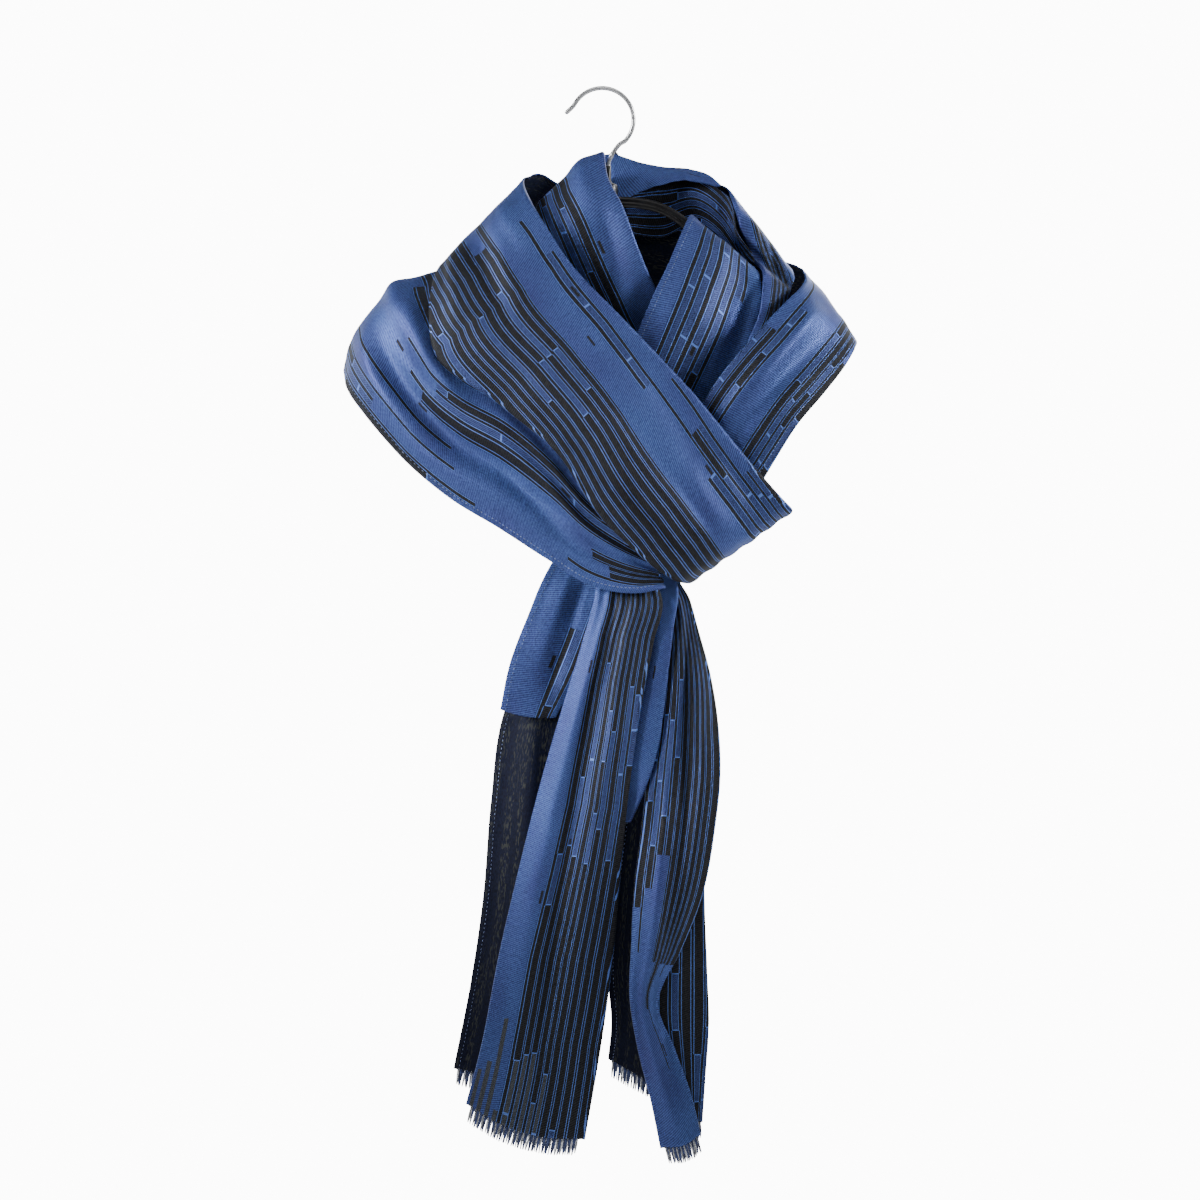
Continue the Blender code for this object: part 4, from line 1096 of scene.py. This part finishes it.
def stripe_masks(nodes, u, v, patches, seed):
    """Where the weave is charcoal, hatched, bright, a hairline or grey, from 0 to 1 each.

    The cloth is cut into units across the threads. A unit starts with a line, and the bar
    after it shows where the lines on both its sides do. Lines and bars have lengths of their
    own, and the chances are read once for each length, so that its ends are square. What is
    added to the seed only keeps the draws apart.
    """
    do = nodes.do
    waved = u
    for turn, amount in WAVES:
        waved = do("MULTIPLY_ADD", do("SINE", do("MULTIPLY", u, turn)), amount, waved)
    ratio = do("DIVIDE", waved, PITCH)
    unit_number = do("FLOOR", ratio)
    across = do("MULTIPLY", do("SUBTRACT", ratio, unit_number), PITCH)
    edge = do("MINIMUM", across, do("SUBTRACT", PITCH, across))
    right_side = do("GREATER_THAN", across, PITCH / 2)

    lines = []
    for ahead in (0.0, 1.0):
        index = do("ADD", unit_number, ahead)
        step, middle, _ = lengths(nodes, v, index, seed, *LINE_LENGTHS)
        place = do("MULTIPLY", index, PITCH)
        likely = field(nodes, patches, "lines", LINES_START, place, middle, seed)
        draw = nodes.chance(index, do("ADD", step, seed + 7.0))
        lines.append(do("LESS_THAN", draw, likely))
    first, second = lines
    both = do("MULTIPLY", first, second)
    line = do("ADD", do("MULTIPLY", right_side, second),
              do("MULTIPLY", do("SUBTRACT", 1.0, right_side), first))

    step, middle, to_end = lengths(nodes, v, unit_number, seed + 20.0, *BAR_LENGTHS)
    place = do("MULTIPLY", do("ADD", unit_number, 0.5), PITCH)
    likely = field(nodes, patches, "coal", COAL_START, place, middle, seed + 5.0)
    draw = nodes.chance(unit_number, do("ADD", step, seed + 91.0))
    coal = do("MULTIPLY", both, do("LESS_THAN", draw, likely))
    open_bar = do("SUBTRACT", both, coal)

    half = do("MULTIPLY_ADD", coal, LINE_HALF_COAL - LINE_HALF, LINE_HALF)
    rim_end = do("ADD", half, RIM_WIDTH)
    in_line = do("LESS_THAN", edge, half)
    in_rim = do("SUBTRACT", do("LESS_THAN", edge, rim_end), in_line)
    inside = do("GREATER_THAN", edge, rim_end)
    in_hair = do("MULTIPLY", inside, do("LESS_THAN", edge, do("ADD", rim_end, HAIR_WIDTH)))

    charcoal = do("MAXIMUM", do("MULTIPLY", line, in_line), do("MULTIPLY", coal, inside))
    draw = nodes.chance(unit_number, do("FLOOR", do("MULTIPLY", v, 1 / DASH_LENGTH)))
    dash = do("MULTIPLY", do("LESS_THAN", draw, DASH_CHANCE), do("GREATER_THAN", edge, DASH_EDGE))
    charcoal = do("MAXIMUM", charcoal, dash)
    hatched = do("MULTIPLY", open_bar, inside)
    likely = field(nodes, patches, "grey", GREY_START, place, middle, seed + 9.0)
    draw = nodes.chance(unit_number, do("ADD", step, seed + 33.0))
    grey = do("MULTIPLY", inside, do("LESS_THAN", draw, likely))
    bright = do("MAXIMUM", do("MULTIPLY", line, in_rim),
                do("MULTIPLY", hatched, do("LESS_THAN", to_end, CAP)))
    hair = do("MULTIPLY", do("MULTIPLY", line, in_hair), do("SUBTRACT", 1.0, coal))
    return charcoal, hatched, bright, hair, grey


def face_material(name, patches, seed):
    """The face: blue satin twill with charcoal lines, hatched bars and bright rims."""
    made, nodes, shader = new_material(name)
    do = nodes.do
    mix = nodes.mix
    uv, u, v = nodes.cloth_places()
    charcoal, hatched, bright, hair, grey = stripe_masks(nodes, u, v, patches, seed)
    threads = nodes.noise(uv, THREAD_NOISE, 2.0)
    slow = nodes.noise(uv, (0.30, 0.14, 1.0), 2.0)
    uneven = do("SUBTRACT", threads, 0.5)
    rib = do("SINE", do("MULTIPLY_ADD", v, RIB_ALONG, do("MULTIPLY", u, RIB_ACROSS)))
    dots = do("MULTIPLY", do("SINE", do("MULTIPLY", u, DOTS_ACROSS)),
              do("SINE", do("MULTIPLY", v, RIB_ALONG)))
    twill = do("MULTIPLY_ADD", uneven, 1.3, do("MULTIPLY_ADD", rib, 0.34, 0.5))
    twill = nodes.ramp(twill, 0.0, 1.0)
    colour = mix(nodes.ramp(slow, 0.30, 0.70), mix(twill, *SATIN), mix(twill, *SHADE))
    rungs = do("MULTIPLY_ADD", uneven, 1.2, do("MULTIPLY_ADD", dots, 0.5, 0.55))
    rungs = nodes.ramp(rungs, 0.1, 0.9)
    grain = nodes.ramp(do("MULTIPLY_ADD", rib, 0.22, threads), 0.25, 0.80)
    colour = mix(hatched, colour, mix(rungs, *HATCHED))
    colour = mix(grey, colour, mix(rungs, *GREY))
    colour = mix(do("MULTIPLY", hair, 0.6), colour, HATCHED.dark)
    colour = mix(charcoal, colour, mix(grain, *COAL))
    colour = mix(bright, colour, BRIGHT)
    rough_value = do("MULTIPLY_ADD", uneven, 0.12, do("MULTIPLY_ADD", charcoal, 0.10, 0.54))
    height = do("MULTIPLY_ADD", charcoal, -0.8, do("MULTIPLY_ADD", rib, 0.5, threads))
    nodes.put(shader, {
        "Base Color": colour,
        "Roughness": rough_value,
        "Metallic": 0.55,
        "Specular IOR Level": 0.30,
        "Sheen Weight": 0.08,
        "Sheen Roughness": 0.4,
        "Sheen Tint": (0.45, 0.62, 1.0),
        "Normal": nodes.bump(height, 0.40, 0.00018),
    })
    return made


def reverse_material():
    """The reverse: near-black navy, with grey-green flecks of weft in columns."""
    made, nodes, shader = new_material("silk_reverse")
    uv, _, _ = nodes.cloth_places()
    threads = nodes.noise(uv, THREAD_NOISE, 2.0)
    spots = nodes.ramp(nodes.noise(uv, (12.0, 2.4, 1.0), 2.0), 0.50, 0.58)
    columns = nodes.ramp(nodes.noise(uv, (1.9, 0.08, 1.0), 2.0), 0.46, 0.54)
    ground = nodes.mix(nodes.ramp(threads, 0.30, 0.70), *NAVY)
    nodes.put(shader, {
        "Base Color": nodes.mix(nodes.do("MULTIPLY", columns, spots), ground, FLECK),
        "Roughness": 0.66,
        "Specular IOR Level": 0.15,
        "Sheen Weight": 0.04,
        "Sheen Tint": (0.6, 0.7, 1.0),
        "Normal": nodes.bump(threads, 0.35, 0.00015),
    })
    return made


def yarn_material(name, tone, through=0.0):
    """Loose yarn: twisted, paler and darker along each strand."""
    made, nodes, shader = new_material(name)
    spread = nodes.noise(nodes.object_places(), (900, 900, 260))
    nodes.put(shader, {
        "Base Color": nodes.mix(nodes.ramp(spread, 0.35, 0.65), *tone),
        "Roughness": 0.7,
        "Subsurface Weight": through,
        "Subsurface Radius": (1.0, 1.0, 1.0),
        "Subsurface Scale": 0.003,
        "Sheen Weight": 0.3,
        "Normal": nodes.bump(spread, 0.4, 0.0002),
    })
    return made


def chrome_material():
    """Plated wire, with faint marks from rails along it."""
    made, nodes, shader = new_material("hook_chrome")
    marks = nodes.noise(nodes.object_places(), (180, 180, 180), 6.0)
    nodes.put(shader, {
        "Base Color": nodes.mix(nodes.ramp(marks, 0.4, 0.7), *CHROME),
        "Metallic": 0.72,
        "Roughness": nodes.ramp(marks, 0.3, 0.8, 0.22, 0.36),
    })
    return made


def plastic_material():
    """Satin black moulded plastic, with a fine grain and rubbed places."""
    made, nodes, shader = new_material("hanger_black")
    place = nodes.object_places()
    grain = nodes.noise(place, (900, 900, 900))
    rubbed = nodes.noise(place, (40, 40, 40), 5.0)
    nodes.put(shader, {
        "Base Color": nodes.mix(nodes.ramp(rubbed, 0.45, 0.75), *PLASTIC),
        "Roughness": nodes.ramp(rubbed, 0.3, 0.8, 0.34, 0.50),
        "Normal": nodes.bump(grain, 0.25, 0.0001),
    })
    return made


def ring(centre, one, two, sides):
    """Points round a centre, from the two half axes of their ellipse."""
    turns = 2 * math.pi * np.arange(sides)[:, None] / sides
    return centre + np.cos(turns) * one + np.sin(turns) * two


def ring_faces(rings, sides):
    """Faces that join rings of points, with both ends closed."""
    faces = []
    for base in range(0, (rings - 1) * sides, sides):
        for step in range(sides):
            after = (step + 1) % sides
            faces.append((base + step, base + after, base + sides + after, base + sides + step))
    faces.append(tuple(range(sides))[::-1])
    faces.append(tuple(range((rings - 1) * sides, rings * sides)))
    return faces


def build_hook(chrome):
    """The bent wire with a rounded tip."""
    centre = np.array((HOOK_CENTRE_X, WIRE_RADIUS - HOOK_RADIUS))
    turns = np.radians(np.linspace(*HOOK_TURNS, 40))
    arc = centre + HOOK_RADIUS * np.stack((np.cos(turns), np.sin(turns)), axis=1)
    route = np.concatenate((HOOK_TIP, arc, HOOK_BEND))
    knots = distances(route)
    tip = WIRE_RADIUS * (1 - np.cos(np.linspace(0, math.pi / 2, 6)))
    at = np.concatenate((tip[:-1], np.linspace(WIRE_RADIUS, knots[-1], 130)))
    line = smooth(knots, route, at)
    points = np.stack((line[:, 0], 0 * at, line[:, 1]), axis=1)
    from_tip = np.clip(1 - at / WIRE_RADIUS, 0, 1)
    radii = WIRE_RADIUS * np.sqrt(np.maximum(1 - from_tip ** 2, 0.01))
    ahead = unit(np.gradient(points, axis=0))
    side = unit(np.cross(ahead, (0.0, 1.0, 0.0)))
    up = np.cross(side, ahead)
    vertices = np.concatenate([ring(point, radius * one, radius * two, WIRE_SIDES)
                               for point, radius, one, two in zip(points, radii, side, up)])
    faces = ring_faces(len(points), WIRE_SIDES)
    piece = add_mesh("hook_wire", vertices, faces, [chrome])
    return finish_piece(piece, "hanger_hook", ["hanger_hook"])


def build_neck(plastic):
    """Sleeve and boss, turned about the shaft with softened edges."""
    vertices = np.concatenate([ring((SHAFT_X, 0, z), (radius, 0, 0), (0, radius, 0), NECK_SIDES)
                               for radius, z in NECK_OUTLINE])
    faces = ring_faces(len(NECK_OUTLINE), NECK_SIDES)
    piece = add_mesh("hanger_sleeve", vertices, faces, [plastic])
    return finish_piece(piece, "hanger_neck", ["hanger_neck"])


def build_arms(plastic):
    """Both arms in one sweep, with a groove along the front and the back."""
    table = np.array(ARM_TOP, dtype=float)
    along = np.linspace(0.0, table[-1, 0], 45)
    height = smooth(table[:, 0], table[:, 1:2], along)[:, 0]
    line = np.stack((SHAFT_X + np.concatenate((-along[:0:-1], along)),
                     np.concatenate((height[:0:-1], height))), axis=1)
    vertices = []
    for i, ((x, z), (along_x, along_z)) in enumerate(zip(line, unit(np.gradient(line, axis=0)))):
        taper = ARM_ENDS[min(i, len(line) - 1 - i, len(ARM_ENDS) - 1)]
        for depth, up in ARM_RING:
            vertices.append((x + along_z * (ARM_HALF - up * taper), depth * taper,
                             z - along_x * (ARM_HALF - up * taper)))
    faces = ring_faces(len(line), len(ARM_RING))
    piece = add_mesh("hanger_arms_moulded", vertices, faces, [plastic])
    return finish_piece(piece, "hanger_arms", ["hanger_arms"])


def build_stitches(strips, thread):
    """Rows of short stitches along the hems, one object for each sheet."""
    groups = {}
    for stitch in SIDE_STITCHES:
        strip = strips[stitch.sheet]
        low, high = np.interp((stitch.row0, stitch.row1), strip.count, strip.knots)
        columns = slice(ROLL_STEPS + 1, -ROLL_STEPS - 1)
        share = strip.columns[columns, 0]
        for place in np.arange(low, high, STITCH_PITCH):
            row = min(max(int(np.searchsorted(strip.at, place)), 1), len(strip.at) - 1)
            part = (place - strip.at[row - 1]) / (strip.at[row] - strip.at[row - 1])
            depth = STITCH_DEPTH / strip.widths[row]
            wanted = 1 - depth if stitch.at_b else depth
            before, after = (read_off(wanted, share, strip.points[r, columns])
                             for r in (row - 1, row))
            up = unit(read_off(wanted, share, strip.normal[row, columns]))
            ahead = unit(after - before)
            over = np.cross(ahead, up)
            shape = np.array(STITCH_POINTS) @ (ahead * STITCH_LENGTH, over, up)
            centre = before * (1 - part) + after * part
            groups.setdefault(stitch.sheet, []).append(centre + shape)
    made = {}
    for name, shapes in groups.items():
        faces = [tuple(base * len(STITCH_POINTS) + k for k in face)
                 for base in range(len(shapes)) for face in STITCH_FACES]
        piece = add_mesh(name + "_stitches", np.concatenate(shapes), faces, [thread])
        made[name] = finish_piece(piece, strips[name].sheet.nodes[0], [])
    return made


def build_fringe(name, strip, strands, seed, yarns):
    """Loose yarn ends under a hem, gathered in small clumps of pale and dark strands."""
    columns = slice(ROLL_STEPS + 2, -ROLL_STEPS - 2)
    foot = strip.points[-1, columns] - strip.normal[-1, columns] * CLOTH_WALL / 2
    down = unit(strip.points[-1, columns] - strip.points[-3, columns])
    reach = distances(foot)
    draw = np.random.default_rng(seed)
    sideways = unit(foot[-1] - foot[0])
    out = strip.out[-1]
    strand_faces = ring_faces(STRAND_RINGS, STRAND_SIDES)
    vertices = []
    faces = []
    slots = []
    clump = 1
    left = 0
    for strand in range(strands):
        if left == 0:
            clump = 1 - clump
            left = int(draw.integers(*CLUMP_SIZES[clump]))
            clump_lean = draw.uniform(-CLUMP_LEAN, CLUMP_LEAN)
            clump_out = draw.uniform(-CLUMP_OUT, CLUMP_OUT)
            clump_centre = strand + left / 2
        left -= 1
        place = reach[-1] * (strand + 0.5 + draw.uniform(-0.15, 0.15)) / strands
        root = read_off(place, reach, foot)
        fall = read_off(place, reach, down)
        pull = (clump_centre - strand) * reach[-1] / strands * CLUMP_PULL + clump_lean
        length = STRAND_LENGTH * draw.uniform(0.88, 1.0)
        sway = draw.uniform(-STRAND_SWAY, STRAND_SWAY)
        width = draw.uniform(*STRAND_RADII)
        base = len(vertices)
        for run in np.linspace(0.0, 1.0, STRAND_RINGS):
            centre = (root - fall * STRAND_ROOT * (1 - run) + fall * length * run
                      + sideways * (pull * run ** 0.7 + sway * math.sin(run * 3.1))
                      + out * clump_out * run ** 1.5)
            radius = width * (1 - STRAND_TAPER * run ** 3)
            vertices.extend(ring(centre, radius * sideways, radius * out, STRAND_SIDES))
        faces.extend(tuple(base + k for k in face) for face in strand_faces)
        slots.extend([clump] * len(strand_faces))
    piece = add_mesh(name + "_yarn", vertices, faces, yarns, slots)
    return finish_piece(piece, name, [name])


def build_camera():
    camera = bpy.data.objects.new("camera", bpy.data.cameras.new("camera"))
    camera.data.sensor_width = SENSOR_WIDTH
    camera.data.lens = SENSOR_WIDTH * VIEW_DISTANCE / VIEW_WIDTH
    camera.location = (VIEW_X, -VIEW_DISTANCE, VIEW_Z)
    camera.rotation_euler = (math.pi / 2, 0.0, 0.0)
    bpy.context.scene.collection.objects.link(camera)
    bpy.context.scene.camera = camera


def build_lamps():
    """Large soft lamps that all face the scarf."""
    for lamp in LAMPS:
        light = bpy.data.lights.new(lamp.name, "AREA")
        light.size = lamp.size
        light.spread = math.radians(lamp.spread)
        light.energy = lamp.energy
        made = bpy.data.objects.new(lamp.name, light)
        made.location = (lamp.x, lamp.y, lamp.z)
        towards = Vector((lamp.aim_x, 0, lamp.aim_z)) - made.location
        made.rotation_euler = towards.to_track_quat("-Z", "Y").to_euler()
        bpy.context.scene.collection.objects.link(made)


def build_stage():
    """Pale floor well below the fringe, and a world that the camera sees white."""
    made, nodes, shader = new_material("floor_pale")
    nodes.put(shader, {
        "Base Color": nodes.mix(nodes.noise(nodes.object_places(), (3, 3, 3)), *FLOOR),
        "Roughness": 0.8,
        "Emission Color": (1.0, 1.0, 1.0),
        "Emission Strength": 0.8,
    })
    corners = [(x * FLOOR_HALF, y * FLOOR_HALF, FLOOR_Z)
               for x, y in ((-1, -1), (1, -1), (1, 1), (-1, 1))]
    add_mesh("floor", corners, [(0, 1, 2, 3)], [made])

    world = bpy.data.worlds.new("studio")
    world.use_nodes = True
    nodes = Nodes(world.node_tree)
    soft = world.node_tree.nodes["Background"]
    nodes.put(soft, {"Color": (0.90, 0.94, 1.0), "Strength": 0.09})
    white = nodes.new("ShaderNodeBackground", {"Color": (1.0, 1.0, 1.0), "Strength": 12.0})
    seen = nodes.new("ShaderNodeLightPath", {}).outputs["Is Camera Ray"]
    mix = nodes.new("ShaderNodeMixShader", {0: seen, 1: soft.outputs[0], 2: white.outputs[0]})
    nodes.put(world.node_tree.nodes["World Output"], {"Surface": mix.outputs[0]})
    bpy.context.scene.world = world


def main():
    build_camera()
    build_lamps()
    build_stage()
    reverse = reverse_material()
    yarns = [yarn_material("yarn_pale", YARN_PALE, 0.8), yarn_material("yarn_navy", YARN_NAVY)]
    thread = yarn_material("thread_blue", THREAD_BLUE)
    strips = {}
    pieces = {}
    for name, sheet in SHEETS.items():
        strip = Strip(name, sheet)
        strips[name] = strip
        patches = [patch._replace(row=float(np.interp(patch.row, strip.count, strip.knots)))
                   for patch in sheet.patches]
        face = face_material("silk_" + name, patches, float(strip.seed % 50))
        pieces[name] = build_sheet(strip, [face, reverse] if sheet.face else [reverse, face])
    stitches = build_stitches(strips, thread)
    fringes = {}
    for name, (sheet, strands, seed) in FRINGES.items():
        fringes[sheet] = build_fringe(name, strips[sheet], strands, seed, yarns)
    build_hook(chrome_material())
    plastic = plastic_material()
    build_neck(plastic)
    build_arms(plastic)
    for name, piece in pieces.items():
        strip = strips[name]
        extras = [group[name] for group in (stitches, fringes) if name in group]
        round(strip.cut_width() * MM, 3)


main()
